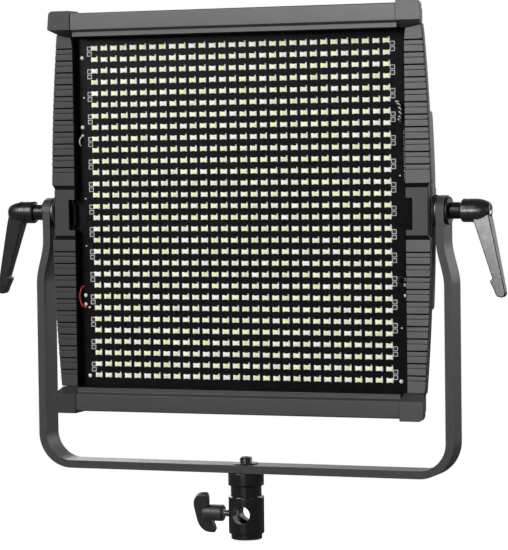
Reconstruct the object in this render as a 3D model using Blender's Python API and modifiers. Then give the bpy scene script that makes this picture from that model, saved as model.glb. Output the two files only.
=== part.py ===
"""LED panel light in a yoke with ratchet levers and a spigot receiver.

Units are metres.  X runs across the panel, Y runs from the front to the back,
Z is up.  Z = 0 is the mouth of the spigot receiver, and the tilt axis is the
line Y = 0, Z = PIVOT_Z.  Dimensions below are in millimetres and are scaled
once, by MM; heights written as "zp" are measured from the tilt axis.
"""

import math

import bmesh
import bpy
from mathutils import Matrix, Vector

MM = 0.001
GAP = 0.3

# --- driving dimensions (mm) -------------------------------------------------
PIVOT_Z = 287.1
ROW_PITCH = 10.0
COL_PITCH = 9.367
LED_ROWS = 30
LED_COLS = 30

CAP_FRONT_Y = -28.0
RAIL_FRONT_Y = -27.3
COVER_FRONT_Y = -15.3
COVER_BACK_Y = -8.6
HOUSING_FRONT_Y = -8.3
HOUSING_BACK_Y = 20.0
BACK_LIMIT_Y = 28.0

RAIL_OUT = 175.7
RAIL_LIP = 155.2
RAIL_HALF = 149.9
CAP_IN_X = 150.3
CAP_RAMP_Y = -16.0
CAP_OUT_Z = 177.8
COVER_IN_X = 153.7
COVER_MID_X = 176.4
COVER_BOW = 6.6
COVER_HALF_Z = 154.9
BLOCK_X = 174.0
BOSS_X = 175.3
BOSS_R = 13.0
SHOULDER_X = 175.2
SHOULDER_BOW = 2.3
BLOCK_HALF_Z = 20.8
RIB_UPPER = 39.7
RIB_LOWER = -35.1
RIB_WIDTH = 1.2
RIB_PITCH = 10.5
RIB_COUNT = 11
RIB_DEPTH = 0.9

BOARD_HALF_X = 157.0
BOARD_HALF_Z = 159.0
BOARD_FRONT_Y = -7.6
BOARD_T = 1.6

YOKE_T = 6.9
YOKE_HALF_W = 13.0
YOKE_UP_OUT = 186.4
YOKE_LOW_OUT = 193.2
YOKE_JOG_TOP = -27.0
YOKE_JOG_BOTTOM = -61.0
YOKE_UNDER = -228.4
YOKE_R_OUT = 31.0

LEVER_TIP_Z = -73.6
LEVER_LIFT = 4.0

STUD_R = 5.8
STUD_BORE_R = 6.1
STUD_TOP = -215.2
RING_R = 15.7
NECK_R = 13.5
BODY_R = 15.65
LIP_R = 13.65
SPIGOT_BORE_R = 8.1
CROSS_BORE_ZP = -264.8
CLAMP_ZP = -265.5

# --- scene set-up --------------------------------------------------------------
for old in list(bpy.data.objects):
    bpy.data.objects.remove(old, do_unlink=True)

PARTS = bpy.data.collections.new("led_panel_light")
CUTTERS = bpy.data.collections.new("cutters")
bpy.context.scene.collection.children.link(PARTS)
bpy.context.scene.collection.children.link(CUTTERS)


def material(name, colour, roughness, metallic):
    m = bpy.data.materials.new(name)
    m.use_nodes = True
    b = m.node_tree.nodes["Principled BSDF"]
    b.inputs["Base Color"].default_value = (*colour, 1.0)
    b.inputs["Roughness"].default_value = roughness
    b.inputs["Metallic"].default_value = metallic
    return m


def place(ob, name, mat, at):
    """Name the object, give it its own material and set it at a point in mm."""
    ob.name = name
    ob.location = (at[0] * MM, at[1] * MM, (at[2] + PIVOT_Z) * MM)
    ob.data.materials.clear()
    if mat is not None:
        ob.data.materials.append(material("mat_" + name, *mat))
        PARTS.objects.link(ob)
    else:
        ob.hide_render = True
        ob.display_type = "WIRE"
        CUTTERS.objects.link(ob)
    return ob


def from_bmesh(bm, name, mat, at=(0, 0, 0), smooth=False):
    me = bpy.data.meshes.new(name)
    bmesh.ops.recalc_face_normals(bm, faces=bm.faces)
    if bm.calc_volume(signed=True) < 0:
        bmesh.ops.reverse_faces(bm, faces=bm.faces)
    bm.to_mesh(me)
    bm.free()
    if smooth:
        for p in me.polygons:
            p.use_smooth = True
    return place(bpy.data.objects.new(name, me), name, mat, at)


def bevel(ob, width, segments=1, angle=30.0):
    m = ob.modifiers.new("bevel", "BEVEL")
    m.width = width * MM
    m.segments = segments
    m.limit_method = "ANGLE"
    m.angle_limit = math.radians(angle)
    m.use_clamp_overlap = True
    return ob


def combine(ob, other, operation):
    m = ob.modifiers.new(operation.lower(), "BOOLEAN")
    m.operation = operation
    m.solver = "EXACT"
    m.object = other
    return ob


def add_box(bm, x0, x1, y0, y1, z0, z1):
    mat = Matrix.Translation(
        Vector(((x0 + x1) / 2, (y0 + y1) / 2, (z0 + z1) / 2)) * MM
    ) @ Matrix.Diagonal(
        Vector((abs(x1 - x0) * MM, abs(y1 - y0) * MM, abs(z1 - z0) * MM, 1.0))
    )
    bmesh.ops.create_cube(bm, size=1.0, matrix=mat)


def box(name, mat, x0, x1, y0, y1, z0, z1, at=(0, 0, 0)):
    """A box given by its limits, relative to the object's own origin."""
    bm = bmesh.new()
    add_box(bm, x0, x1, y0, y1, z0, z1)
    return from_bmesh(bm, name, mat, at)


def boxes(name, limits, at=(0, 0, 0)):
    bm = bmesh.new()
    for lim in limits:
        add_box(bm, *lim)
    return from_bmesh(bm, name, None, at)


AXES = {
    "Z": Matrix.Identity(4),
    "X": Matrix.Rotation(math.radians(90), 4, "Y"),
    "-X": Matrix.Rotation(math.radians(-90), 4, "Y"),
    "Y": Matrix.Rotation(math.radians(-90), 4, "X"),
    "-Y": Matrix.Rotation(math.radians(90), 4, "X"),
}


def rod(name, mat, axis, r, h0, h1, at=(0, 0, 0), segs=24):
    """A cylinder from h0 to h1 along an axis through the object's origin."""
    bm = bmesh.new()
    bmesh.ops.create_cone(
        bm,
        cap_ends=True,
        segments=segs,
        radius1=r * MM,
        radius2=r * MM,
        depth=abs(h1 - h0) * MM,
        matrix=AXES[axis] @ Matrix.Translation((0, 0, (h0 + h1) / 2 * MM)),
    )
    return from_bmesh(bm, name, mat, at)


def turned(name, mat, axis, profile, at=(0, 0, 0), segs=32, closed=False):
    """Turn a profile of (radius, height) pairs about an axis.

    The profile runs down the outer side, top to bottom; a closed one comes
    back up the bore, and an open one starts and ends on the axis.
    """
    me = bpy.data.meshes.new(name)
    verts = [(r * MM, 0.0, h * MM) for r, h in profile]
    edges = [(i, i + 1) for i in range(len(verts) - 1)]
    if closed:
        edges.append((len(verts) - 1, 0))
    me.from_pydata(verts, edges, [])
    ob = place(bpy.data.objects.new(name, me), name, mat, at)
    ob.rotation_euler = AXES[axis].to_euler()
    s = ob.modifiers.new("turn", "SCREW")
    s.axis = "Z"
    s.angle = math.radians(360)
    s.steps = segs
    s.render_steps = segs
    s.use_merge_vertices = True
    s.merge_threshold = 0.00001
    s.use_smooth_shade = True
    return ob


def flat(name, mat, points, half, plane="XZ", at=(0, 0, 0), shift=0.0):
    """Extrude a flat outline by half a thickness to each side.

    plane XZ: points are (x, z), thickness along Y; plane YZ: points are
    (y, z), thickness along X; plane XY: points are (x, y), thickness along Z.
    """
    cu = bpy.data.curves.new(name + "_outline", "CURVE")
    cu.dimensions = "2D"
    cu.fill_mode = "BOTH"
    cu.extrude = half * MM
    sp = cu.splines.new("POLY")
    sp.points.add(len(points) - 1)
    for p, (a, b) in zip(sp.points, points):
        p.co = (a * MM, b * MM, 0.0, 1.0)
    sp.use_cyclic_u = True
    tmp = bpy.data.objects.new(name + "_outline", cu)
    bpy.context.scene.collection.objects.link(tmp)
    bpy.context.view_layer.update()
    dg = bpy.context.evaluated_depsgraph_get()
    me = bpy.data.meshes.new_from_object(tmp.evaluated_get(dg))
    bpy.data.objects.remove(tmp, do_unlink=True)
    bm = bmesh.new()
    bm.from_mesh(me)
    bpy.data.meshes.remove(me)
    bmesh.ops.remove_doubles(bm, verts=bm.verts, dist=0.00001)
    bmesh.ops.dissolve_limit(
        bm, angle_limit=math.radians(0.5), verts=bm.verts, edges=bm.edges
    )
    if plane == "XZ":
        turn = Matrix.Rotation(math.radians(90), 4, "X")
        move = Matrix.Translation((0, shift * MM, 0))
    elif plane == "YZ":
        turn = Matrix(((0, 0, 1, 0), (1, 0, 0, 0), (0, 1, 0, 0), (0, 0, 0, 1)))
        move = Matrix.Translation((shift * MM, 0, 0))
    else:
        turn = Matrix.Identity(4)
        move = Matrix.Translation((0, 0, shift * MM))
    bm.transform(move @ turn)
    return from_bmesh(bm, name, mat, at)


def tube(name, mat, points, r, res=2, at=(0, 0, 0)):
    """A round wire along a run of points."""
    cu = bpy.data.curves.new(name + "_path", "CURVE")
    cu.dimensions = "3D"
    cu.bevel_depth = r * MM
    cu.bevel_resolution = res
    cu.use_fill_caps = True
    sp = cu.splines.new("POLY")
    sp.points.add(len(points) - 1)
    for p, q in zip(sp.points, points):
        p.co = (q[0] * MM, q[1] * MM, q[2] * MM, 1.0)
    tmp = bpy.data.objects.new(name + "_path", cu)
    bpy.context.scene.collection.objects.link(tmp)
    bpy.context.view_layer.update()
    dg = bpy.context.evaluated_depsgraph_get()
    me = bpy.data.meshes.new_from_object(tmp.evaluated_get(dg))
    bpy.data.objects.remove(tmp, do_unlink=True)
    bm = bmesh.new()
    bm.from_mesh(me)
    bpy.data.meshes.remove(me)
    bmesh.ops.remove_doubles(bm, verts=bm.verts, dist=0.00001)
    return from_bmesh(bm, name, mat, at, smooth=True)


def arc(cx, cy, r, a0, a1, n):
    """Points on an arc from a0 to a1 degrees, both ends included."""
    return [
        (
            cx + r * math.cos(math.radians(a0 + (a1 - a0) * i / n)),
            cy + r * math.sin(math.radians(a0 + (a1 - a0) * i / n)),
        )
        for i in range(n + 1)
    ]


def rounded_rect(x0, x1, y0, y1, r, n=4):
    return (
        arc(x1 - r, y1 - r, r, 0, 90, n)
        + arc(x0 + r, y1 - r, r, 90, 180, n)
        + arc(x0 + r, y0 + r, r, 180, 270, n)
        + arc(x1 - r, y0 + r, r, 270, 360, n)
    )


def flip(points):
    """Mirror an outline in its first coordinate and keep its direction."""
    return [(-a, b) for a, b in reversed(points)]


SIDES = (("left", -1), ("right", 1))

# --- finishes: colour, roughness, metallic ---------------------------------------
GREY_PLASTIC = ((0.085, 0.087, 0.092), 0.45, 0.0)
RAIL_METAL = ((0.095, 0.097, 0.103), 0.38, 0.4)
BLACK_PLASTIC = ((0.018, 0.018, 0.02), 0.4, 0.0)
BLACK_METAL = ((0.02, 0.02, 0.022), 0.3, 0.6)
YOKE_PAINT = ((0.07, 0.075, 0.08), 0.42, 0.3)
BOARD_BLACK = ((0.012, 0.013, 0.022), 0.35, 0.0)
LED_PALE = ((0.86, 0.88, 0.66), 0.4, 0.0)
CHROME = ((0.75, 0.75, 0.76), 0.15, 1.0)
STEEL = ((0.55, 0.55, 0.56), 0.3, 1.0)
ALUMINIUM = ((0.65, 0.66, 0.68), 0.35, 1.0)
BRASS = ((0.72, 0.55, 0.25), 0.3, 1.0)
RUBBER = ((0.02, 0.02, 0.02), 0.8, 0.0)
RED_WIRE = ((0.55, 0.03, 0.02), 0.4, 0.0)
GLASS = ((0.02, 0.03, 0.03), 0.08, 0.0)
GREEN_BOARD = ((0.02, 0.14, 0.06), 0.45, 0.0)

# =============================== panel frame ====================================


def rail_profile(s):
    """C-section open towards the back, with a sloped inner shoulder and a lip."""
    f = RAIL_FRONT_Y
    pts = [
        (COVER_BACK_Y, RAIL_OUT),
        (f + 0.8, RAIL_OUT),
        (f, RAIL_OUT - 0.8),
        (f, 160.9),
        (f + 4.2, 159.2),
        (f + 4.2, RAIL_LIP),
        (COVER_BACK_Y, RAIL_LIP),
        (COVER_BACK_Y, 157.0),
        (f + 6.0, 157.0),
        (f + 6.0, 160.3),
        (f + 2.0, 162.0),
        (f + 2.0, 173.7),
        (COVER_BACK_Y, 173.7),
    ]
    return [(y, z * s) for y, z in (pts if s > 0 else reversed(pts))]


flat("top_rail", RAIL_METAL, rail_profile(1), RAIL_HALF, "YZ")
flat("bottom_rail", RAIL_METAL, rail_profile(-1), RAIL_HALF, "YZ")


def cap_outline(x_low, x_high, z_low):
    """Section of the upper right cap across the depth, rounded at the top."""
    return (
        [(CAP_IN_X, z_low), (x_low - 1.0, z_low), (x_low, z_low + 1.0)]
        + arc(x_high - 4.0, CAP_OUT_Z - 4.0, 4.0, 0, 90, 5)
        + [(CAP_IN_X, CAP_OUT_Z)]
    )


def skin(name, mat, rings, at=(0, 0, 0)):
    """Skin a run of outlines, each (y, points in x and z)."""
    bm = bmesh.new()
    loops = [
        [bm.verts.new((x * MM, y * MM, z * MM)) for x, z in pts] for y, pts in rings
    ]
    n = len(loops[0])
    for p, q in zip(loops, loops[1:]):
        for i in range(n):
            bm.faces.new((p[i], p[(i + 1) % n], q[(i + 1) % n], q[i]))
    bm.faces.new(list(reversed(loops[0])))
    bm.faces.new(loops[-1])
    return from_bmesh(bm, name, mat, at)


# each cap narrows towards the back and has a ramp on its inner edge
CAP_RINGS = (
    (CAP_FRONT_Y, 172.0, 171.0, 161.0),
    (CAP_RAMP_Y, 168.4, 169.6, RAIL_LIP),
    (COVER_BACK_Y, 166.6, 167.6, RAIL_LIP),
)
for side, sx in SIDES:
    for level, sz in (("top", 1), ("bottom", -1)):
        rings = []
        for y, x_low, x_high, z_low in CAP_RINGS:
            pts = [(x * sx, z * sz) for x, z in cap_outline(x_low, x_high, z_low)]
            if sx * sz < 0:
                pts.reverse()
            rings.append((y, pts))
        cap = skin("corner_cap_%s_%s" % (level, side), GREY_PLASTIC, rings)
        bevel(cap, 0.9, 2, 40)


def cover_half_width(z):
    if abs(z) <= BLOCK_HALF_Z:
        return BLOCK_X
    return COVER_MID_X - COVER_BOW * (z / 155.0) ** 2


def cover_outline():
    """Right cover, seen from the front: straight inside, bowed outside."""
    zs = [-150.5, -128.0, -104.0, -78.0, -50.0, -24.4]
    end = (cover_half_width(COVER_HALF_Z), COVER_HALF_Z)
    pts = [(COVER_IN_X, -COVER_HALF_Z), (end[0], -end[1])]
    pts += [(cover_half_width(z), z) for z in zs]
    pts += [(BLOCK_X, -BLOCK_HALF_Z), (BLOCK_X, BLOCK_HALF_Z)]
    pts += [(cover_half_width(-z), -z) for z in reversed(zs)]
    pts += [end, (COVER_IN_X, COVER_HALF_Z)]
    return pts


for side, sx in SIDES:
    pts = cover_outline() if sx > 0 else flip(cover_outline())
    half = (COVER_BACK_Y - COVER_FRONT_Y) / 2
    cover = flat(
        "side_cover_" + side, GREY_PLASTIC, pts, half, "XZ", shift=COVER_FRONT_Y + half
    )
    bevel(cover, 0.6, 1, 40)
    ribs = []
    for k in range(RIB_COUNT):
        for z0 in (RIB_UPPER + RIB_PITCH * k, RIB_LOWER - RIB_PITCH * k):
            ribs.append((z0 - RIB_WIDTH / 2, z0 + RIB_WIDTH / 2))
    cuts = [
        (
            150.0 * sx,
            180.0 * sx,
            COVER_FRONT_Y - 2.0,
            COVER_FRONT_Y + RIB_DEPTH,
            a,
            b,
        )
        for a, b in ribs
    ]
    # step grooves above and below the smooth centre block
    for z0, z1 in ((20.4, 23.4), (-24.2, -21.4)):
        cuts.append(
            (150.0 * sx, 180.0 * sx, COVER_FRONT_Y - 2.0, COVER_FRONT_Y + 2.2, z0, z1)
        )
    # finger slot in the inner edge of the block
    cuts.append((150.0 * sx, 159.5 * sx, -20.0, -5.0, -16.0, 11.0))
    combine(cover, boxes("cut_cover_" + side, cuts), "DIFFERENCE")

# =============================== rear housing ====================================


def housing_outline():
    """Bowed rim with rounded corners, counter-clockwise seen from the front."""
    zs = [24.0, 50.0, 78.0, 104.0, 128.0, 150.5]
    right = [(cover_half_width(z) - 1.5, z) for z in zs]
    upper = [(167.0, 158.0)] + arc(161.0, 169.2, 6.0, 0, 90, 3)
    q = right + upper
    out = q + [(-x, z) for x, z in reversed(q)]
    return out + [(-x, -z) for x, z in q] + [(x, -z) for x, z in reversed(q)]


def loft(name, mat, rings, at=(0, 0, 0)):
    """Skin a run of outlines, each (y, scale in x, scale in z)."""
    base = housing_outline()
    bm = bmesh.new()
    loops = []
    for y, sx, sz in rings:
        loops.append(
            [bm.verts.new((x * sx * MM, y * MM, z * sz * MM)) for x, z in base]
        )
    n = len(base)
    for a, b in zip(loops, loops[1:]):
        for i in range(n):
            bm.faces.new((a[i], a[(i + 1) % n], b[(i + 1) % n], b[i]))
    bm.faces.new(list(reversed(loops[0])))
    bm.faces.new(loops[-1])
    return from_bmesh(bm, name, mat, at)


housing = loft(
    "rear_housing",
    GREY_PLASTIC,
    [
        (HOUSING_FRONT_Y, 1.0, 1.0),
        (-4.0, 1.0, 1.0),
        (16.6, 0.884, 0.934),
        (HOUSING_BACK_Y, 0.862, 0.912),
    ],
)
zs = [-85.0 + 17.0 * i for i in range(11)]
side_pts = [(SHOULDER_X - SHOULDER_BOW * (z / 85.0) ** 2, z) for z in zs]
half = (5.0 - HOUSING_FRONT_Y - 0.1) / 2
shoulder = flat(
    "add_shoulder",
    None,
    side_pts + [(-x, z) for x, z in reversed(side_pts)],
    half,
    "XZ",
    shift=5.0 - half,
)
bevel(shoulder, 3.0, 1, 40)
combine(housing, shoulder, "UNION")
cavity = loft(
    "cut_cavity",
    None,
    [(-12.0, 0.966, 0.982), (-4.4, 0.966, 0.982), (17.4, 0.855, 0.908)],
)
combine(housing, cavity, "DIFFERENCE")
for side, sx in SIDES:
    boss = box(
        "add_boss_" + side,
        None,
        158.4 * sx,
        BOSS_X * sx,
        HOUSING_FRONT_Y + 0.05,
        5.0,
        -20.5,
        20.5,
    )
    bevel(boss, 2.0, 1, 40)
    combine(housing, boss, "UNION")
    # round drum behind the block, cut off flat where the cover sits
    open_at = math.degrees(math.acos((HOUSING_FRONT_Y + 0.1) / BOSS_R))
    drum = flat(
        "add_drum_" + side,
        None,
        arc(0.0, 0.0, BOSS_R, -open_at, open_at, 20),
        (BOSS_X - 0.1 - 158.2) / 2,
        "YZ",
        shift=(BOSS_X - 0.1 + 158.2) / 2 * sx,
    )
    combine(housing, drum, "UNION")
    combine(
        housing,
        rod("cut_bush_" + side, None, "X", 8.4, 150.0 * sx, 180.0 * sx, segs=24),
        "DIFFERENCE",
    )

# openings in the back wall
SCREW_AT = [(sx * 136.0, sz * 150.0) for sx in (-1, 1) for sz in (-1, 1)]
VENT_ROWS = 7
vents = []
for k in range(VENT_ROWS):
    z0 = 84.0 + 9.0 * k
    for x0, x1 in ((-118.0, -6.0), (6.0, 118.0)):
        vents.append((x0, x1, 15.0, 24.0, z0, z0 + 4.2))
combine(housing, boxes("cut_vents", vents), "DIFFERENCE")

PANEL_ZP = -118.0
DIMMER = (-38.0, PANEL_ZP - 2.0)
COLOUR = (38.0, PANEL_ZP - 2.0)
MODE = (-9.0, PANEL_ZP - 13.0)
MENU = (9.0, PANEL_ZP - 13.0)
ROCKER = (88.0, PANEL_ZP)
INLET = (-88.0, PANEL_ZP)

for label, (x, z), r in (
    ("dimmer", DIMMER, 3.6),
    ("colour", COLOUR, 3.6),
    ("mode", MODE, 4.6),
    ("menu", MENU, 4.6),
    ("inlet", INLET, 10.2),
):
    combine(
        housing,
        rod("cut_wall_" + label, None, "Y", r, 10.0, 24.0, (x, 0, z), 14),
        "DIFFERENCE",
    )
combine(
    housing,
    box("cut_wall_rocker", None, -7.0, 7.0, 12.0, 24.0, -10.5, 10.5, (ROCKER[0], 0, ROCKER[1])),
    "DIFFERENCE",
)
bm = bmesh.new()
for x, z in SCREW_AT:
    bmesh.ops.create_cone(
        bm,
        cap_ends=True,
        segments=10,
        radius1=1.9 * MM,
        radius2=1.9 * MM,
        depth=12.0 * MM,
        matrix=Matrix.Translation((x * MM, 19.0 * MM, z * MM)) @ AXES["Y"],
    )
combine(housing, from_bmesh(bm, "cut_wall_screws", None), "DIFFERENCE")

for i, (x, z) in enumerate(SCREW_AT):
    name = "housing_screw_%s_%s" % (
        "bottom" if z < 0 else "top",
        "left" if x < 0 else "right",
    )
    turned(
        name,
        BLACK_METAL,
        "Y",
        [(0, 22.2), (1.8, 22.0), (3.4, 20.3), (1.5, 20.3), (1.5, 12.4), (0, 12.4)],
        (x, 0, z),
        12,
    )

# =============================== boards =========================================
board = box(
    "led_board",
    BOARD_BLACK,
    -BOARD_HALF_X,
    BOARD_HALF_X,
    BOARD_FRONT_Y,
    BOARD_FRONT_Y + BOARD_T,
    -BOARD_HALF_Z,
    BOARD_HALF_Z,
)
grid_x = COL_PITCH * (LED_COLS - 1) / 2 + 3.2
grid_z = ROW_PITCH * (LED_ROWS - 1) / 2 + 2.0
box(
    "led_array",
    LED_PALE,
    -grid_x,
    grid_x,
    BOARD_FRONT_Y - 0.9,
    BOARD_FRONT_Y - 0.1,
    -grid_z,
    grid_z,
)
spreader = box(
    "heat_spreader",
    ALUMINIUM,
    -151.0,
    151.0,
    BOARD_FRONT_Y + BOARD_T + GAP,
    BOARD_FRONT_Y + BOARD_T + GAP + 3.0,
    -156.0,
    156.0,
)
fins = []
for k in range(7):
    x = -135.0 + 10.0 * k
    fins.append((x, x + 2.0, -4.0, 4.0, -150.0, 60.0))
    fins.append((-x - 2.0, -x, -4.0, 4.0, -150.0, 60.0))
combine(spreader, boxes("add_fins", fins), "UNION")

BOARD_SCREWS = (
    ("top_left", -147.6, 136.8),
    ("mid_left", -148.0, 75.4),
    ("bottom_left", -144.4, -145.7),
    ("bottom_right", 146.2, -145.6),
)
bm = bmesh.new()
for label, x, z in BOARD_SCREWS:
    bmesh.ops.create_cone(
        bm,
        cap_ends=True,
        segments=10,
        radius1=1.2 * MM,
        radius2=1.2 * MM,
        depth=12.0 * MM,
        matrix=Matrix.Translation((x * MM, -5.0 * MM, z * MM)) @ AXES["Y"],
    )
holes = from_bmesh(bm, "cut_board_screws", None)
combine(board, holes, "DIFFERENCE")
combine(spreader, holes, "DIFFERENCE")
for label, x, z in BOARD_SCREWS:
    turned(
        "board_screw_" + label,
        STEEL,
        "-Y",
        [(0, 9.1), (1.8, 8.5), (1.8, 7.9), (0.9, 7.9), (0.9, 2.2), (0, 2.2)],
        (x, 0, z),
        10,
    )

driver = box("driver_board", GREEN_BOARD, -118.0, 118.0, 6.2, 7.8, -150.0, 52.0)
parts_on_board = [
    (-70.0, -38.0, 7.0, 15.0, -10.0, 22.0),
    (-20.0, 12.0, 7.0, 14.0, -5.0, 30.0),
    (40.0, 78.0, 7.0, 13.0, -20.0, 18.0),
    (-50.0, 50.0, 7.0, 10.0, -70.0, -58.0),
]
combine(driver, boxes("add_components", parts_on_board), "UNION")


def wire_path(points, n=3):
    """Smooth a run of points with a Catmull-Rom blend."""
    out = []
    p = [Vector(q) for q in points]
    p = [p[0] * 2 - p[1]] + p + [p[-1] * 2 - p[-2]]
    for i in range(1, len(p) - 2):
        for k in range(n):
            t = k / n
            a, b, c, d = p[i - 1], p[i], p[i + 1], p[i + 2]
            out.append(
                0.5
                * (
                    2 * b
                    + (c - a) * t
                    + (2 * a - 5 * b + 4 * c - d) * t * t
                    + (3 * b - a - 3 * c + d) * t**3
                )
            )
    out.append(p[-2])
    return [tuple(v) for v in out]


tube(
    "wire_red",
    RED_WIRE,
    wire_path(
        [
            (-146.4, -8.8, -84.6),
            (-148.2, -9.9, -84.2),
            (-150.6, -10.8, -81.4),
            (-152.0, -11.0, -77.0),
            (-152.2, -11.0, -72.4),
            (-151.2, -10.4, -68.6),
            (-149.6, -9.4, -66.4),
            (-148.4, -8.8, -65.8),
        ]
    ),
    0.8,
    1,
)
tube(
    "wire_black",
    BLACK_PLASTIC,
    wire_path(
        [
            (144.6, -8.8, 93.0),
            (146.2, -10.2, 91.0),
            (149.0, -10.9, 88.4),
            (151.4, -11.0, 84.6),
            (151.6, -11.0, 80.2),
            (149.6, -10.2, 77.2),
            (147.2, -8.8, 76.4),
        ]
    ),
    0.8,
    1,
)

# =============================== controls on the back =============================
plate = flat(
    "control_plate",
    BLACK_PLASTIC,
    rounded_rect(-112.0, 112.0, PANEL_ZP - 23.0, PANEL_ZP + 23.0, 4.0),
    0.8,
    "XZ",
    shift=HOUSING_BACK_Y + GAP + 0.8,
)
for label, (x, z), r in (
    ("dimmer", DIMMER, 3.6),
    ("colour", COLOUR, 3.6),
    ("mode", MODE, 4.6),
    ("menu", MENU, 4.6),
    ("inlet", INLET, 10.2),
):
    combine(
        plate,
        rod("cut_plate_" + label, None, "Y", r, 18.0, 25.0, (x, 0, z), 14),
        "DIFFERENCE",
    )
combine(
    plate,
    boxes(
        "cut_plate_windows",
        [
            (-23.3, 23.3, 18.0, 25.0, PANEL_ZP + 1.7, PANEL_ZP + 19.3),
            (ROCKER[0] - 7.0, ROCKER[0] + 7.0, 18.0, 25.0, ROCKER[1] - 10.5, ROCKER[1] + 10.5),
        ],
    ),
    "DIFFERENCE",
)
window = box("display_window", GLASS, -23.0, 23.0, 20.3, 21.7, 2.0, 19.0, (0, 0, PANEL_ZP))
bevel(window, 0.3, 1)

for label, (x, z) in (("dimmer_knob", DIMMER), ("colour_knob", COLOUR)):
    knob = turned(
        label,
        BLACK_PLASTIC,
        "Y",
        [
            (0, 27.4),
            (7.6, 27.4),
            (8.2, BACK_LIMIT_Y),
            (8.9, 27.4),
            (9.4, 22.3),
            (3.0, 22.3),
            (3.0, 12.4),
            (0, 12.4),
        ],
        (x, 0, z),
        20,
    )
    combine(
        knob,
        box("cut_" + label, None, -0.6, 0.6, 26.4, 29.0, 2.0, 10.5, (x, 0, z)),
        "DIFFERENCE",
    )
for label, (x, z) in (("mode_button", MODE), ("menu_button", MENU)):
    turned(
        label,
        GREY_PLASTIC,
        "Y",
        [(0, 24.0), (3.0, 23.8), (4.1, 22.8), (4.1, 14.2), (0, 14.2)],
        (x, 0, z),
        16,
    )

# rocker: a dished cap on a pivot just behind the wall, at rest in the off position
rocker_pts = (
    [(13.6, -3.0), (16.4, -9.0), (22.6, -9.4)]
    + [(23.4, -9.2), (22.4, -4.6), (22.1, 0.0), (22.4, 4.6), (23.4, 9.2)]
    + [(22.6, 9.4), (16.4, 9.0), (13.6, 3.0)]
)
tilt = math.radians(-7.0)
rocker_pts = [
    (
        (y - 16.5) * math.cos(tilt) - z * math.sin(tilt),
        (y - 16.5) * math.sin(tilt) + z * math.cos(tilt),
    )
    for y, z in rocker_pts
]
rocker = flat(
    "power_rocker", BLACK_PLASTIC, rocker_pts, 6.4, "YZ", (ROCKER[0], 16.5, ROCKER[1])
)

inlet = turned(
    "dc_inlet",
    BLACK_METAL,
    "Y",
    [
        (0, 13.0),
        (8.2, 13.0),
        (8.2, 24.2),
        (11.8, 24.2),
        (12.4, 23.6),
        (12.4, 22.2),
        (9.6, 22.2),
        (9.6, 10.0),
        (0, 10.0),
    ],
    (INLET[0], 0, INLET[1]),
    20,
)
bm = bmesh.new()
for k in range(4):
    a = math.radians(45 + 90 * k)
    bmesh.ops.create_cone(
        bm,
        cap_ends=True,
        segments=8,
        radius1=1.2 * MM,
        radius2=0.9 * MM,
        depth=9.0 * MM,
        matrix=Matrix.Translation((4.2 * math.cos(a) * MM, 16.9 * MM, 4.2 * math.sin(a) * MM))
        @ AXES["Y"],
    )
combine(inlet, from_bmesh(bm, "add_inlet_pins", None, (INLET[0], 0, INLET[1])), "UNION")

# battery plate with a wedge slot, contact block and release slider
battery = flat(
    "battery_plate",
    BLACK_PLASTIC,
    rounded_rect(-52.0, 52.0, -62.0, 62.0, 6.0),
    (BACK_LIMIT_Y - 20.3) / 2,
    "XZ",
    shift=(BACK_LIMIT_Y + 20.3) / 2,
)
bevel(battery, 1.0, 2, 40)
wedge = flat(
    "cut_wedge",
    None,
    [(-15.0, -30.0), (15.0, -30.0), (24.0, 70.0), (-24.0, 70.0)],
    4.0,
    "XZ",
    shift=27.2,
)
combine(battery, wedge, "DIFFERENCE")
combine(
    battery,
    boxes(
        "cut_battery",
        [
            (-17.3, 17.3, 22.0, 30.0, -55.3, -42.7),
            (33.7, 46.3, 22.0, 30.0, -32.3, 8.3),
        ],
    ),
    "DIFFERENCE",
)
contact = box("contact_block", BLACK_PLASTIC, -17.0, 17.0, 22.3, 26.4, -55.0, -43.0)
bevel(contact, 0.6, 1)
slots = []
for k in range(4):
    x = -12.0 + 8.0 * k
    slots.append((x - 1.5, x + 1.5, 24.0, 30.0, -52.5, -45.5))
combine(contact, boxes("cut_contacts", slots), "DIFFERENCE")
release = box("battery_release", GREY_PLASTIC, 34.0, 46.0, 22.3, 27.4, -32.0, 2.0)
bevel(release, 0.8, 2)
grips = [(32.0, 48.0, 26.8, 30.0, -27.0 + 5.0 * k, -25.2 + 5.0 * k) for k in range(5)]
combine(release, boxes("cut_release", grips), "DIFFERENCE")

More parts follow.
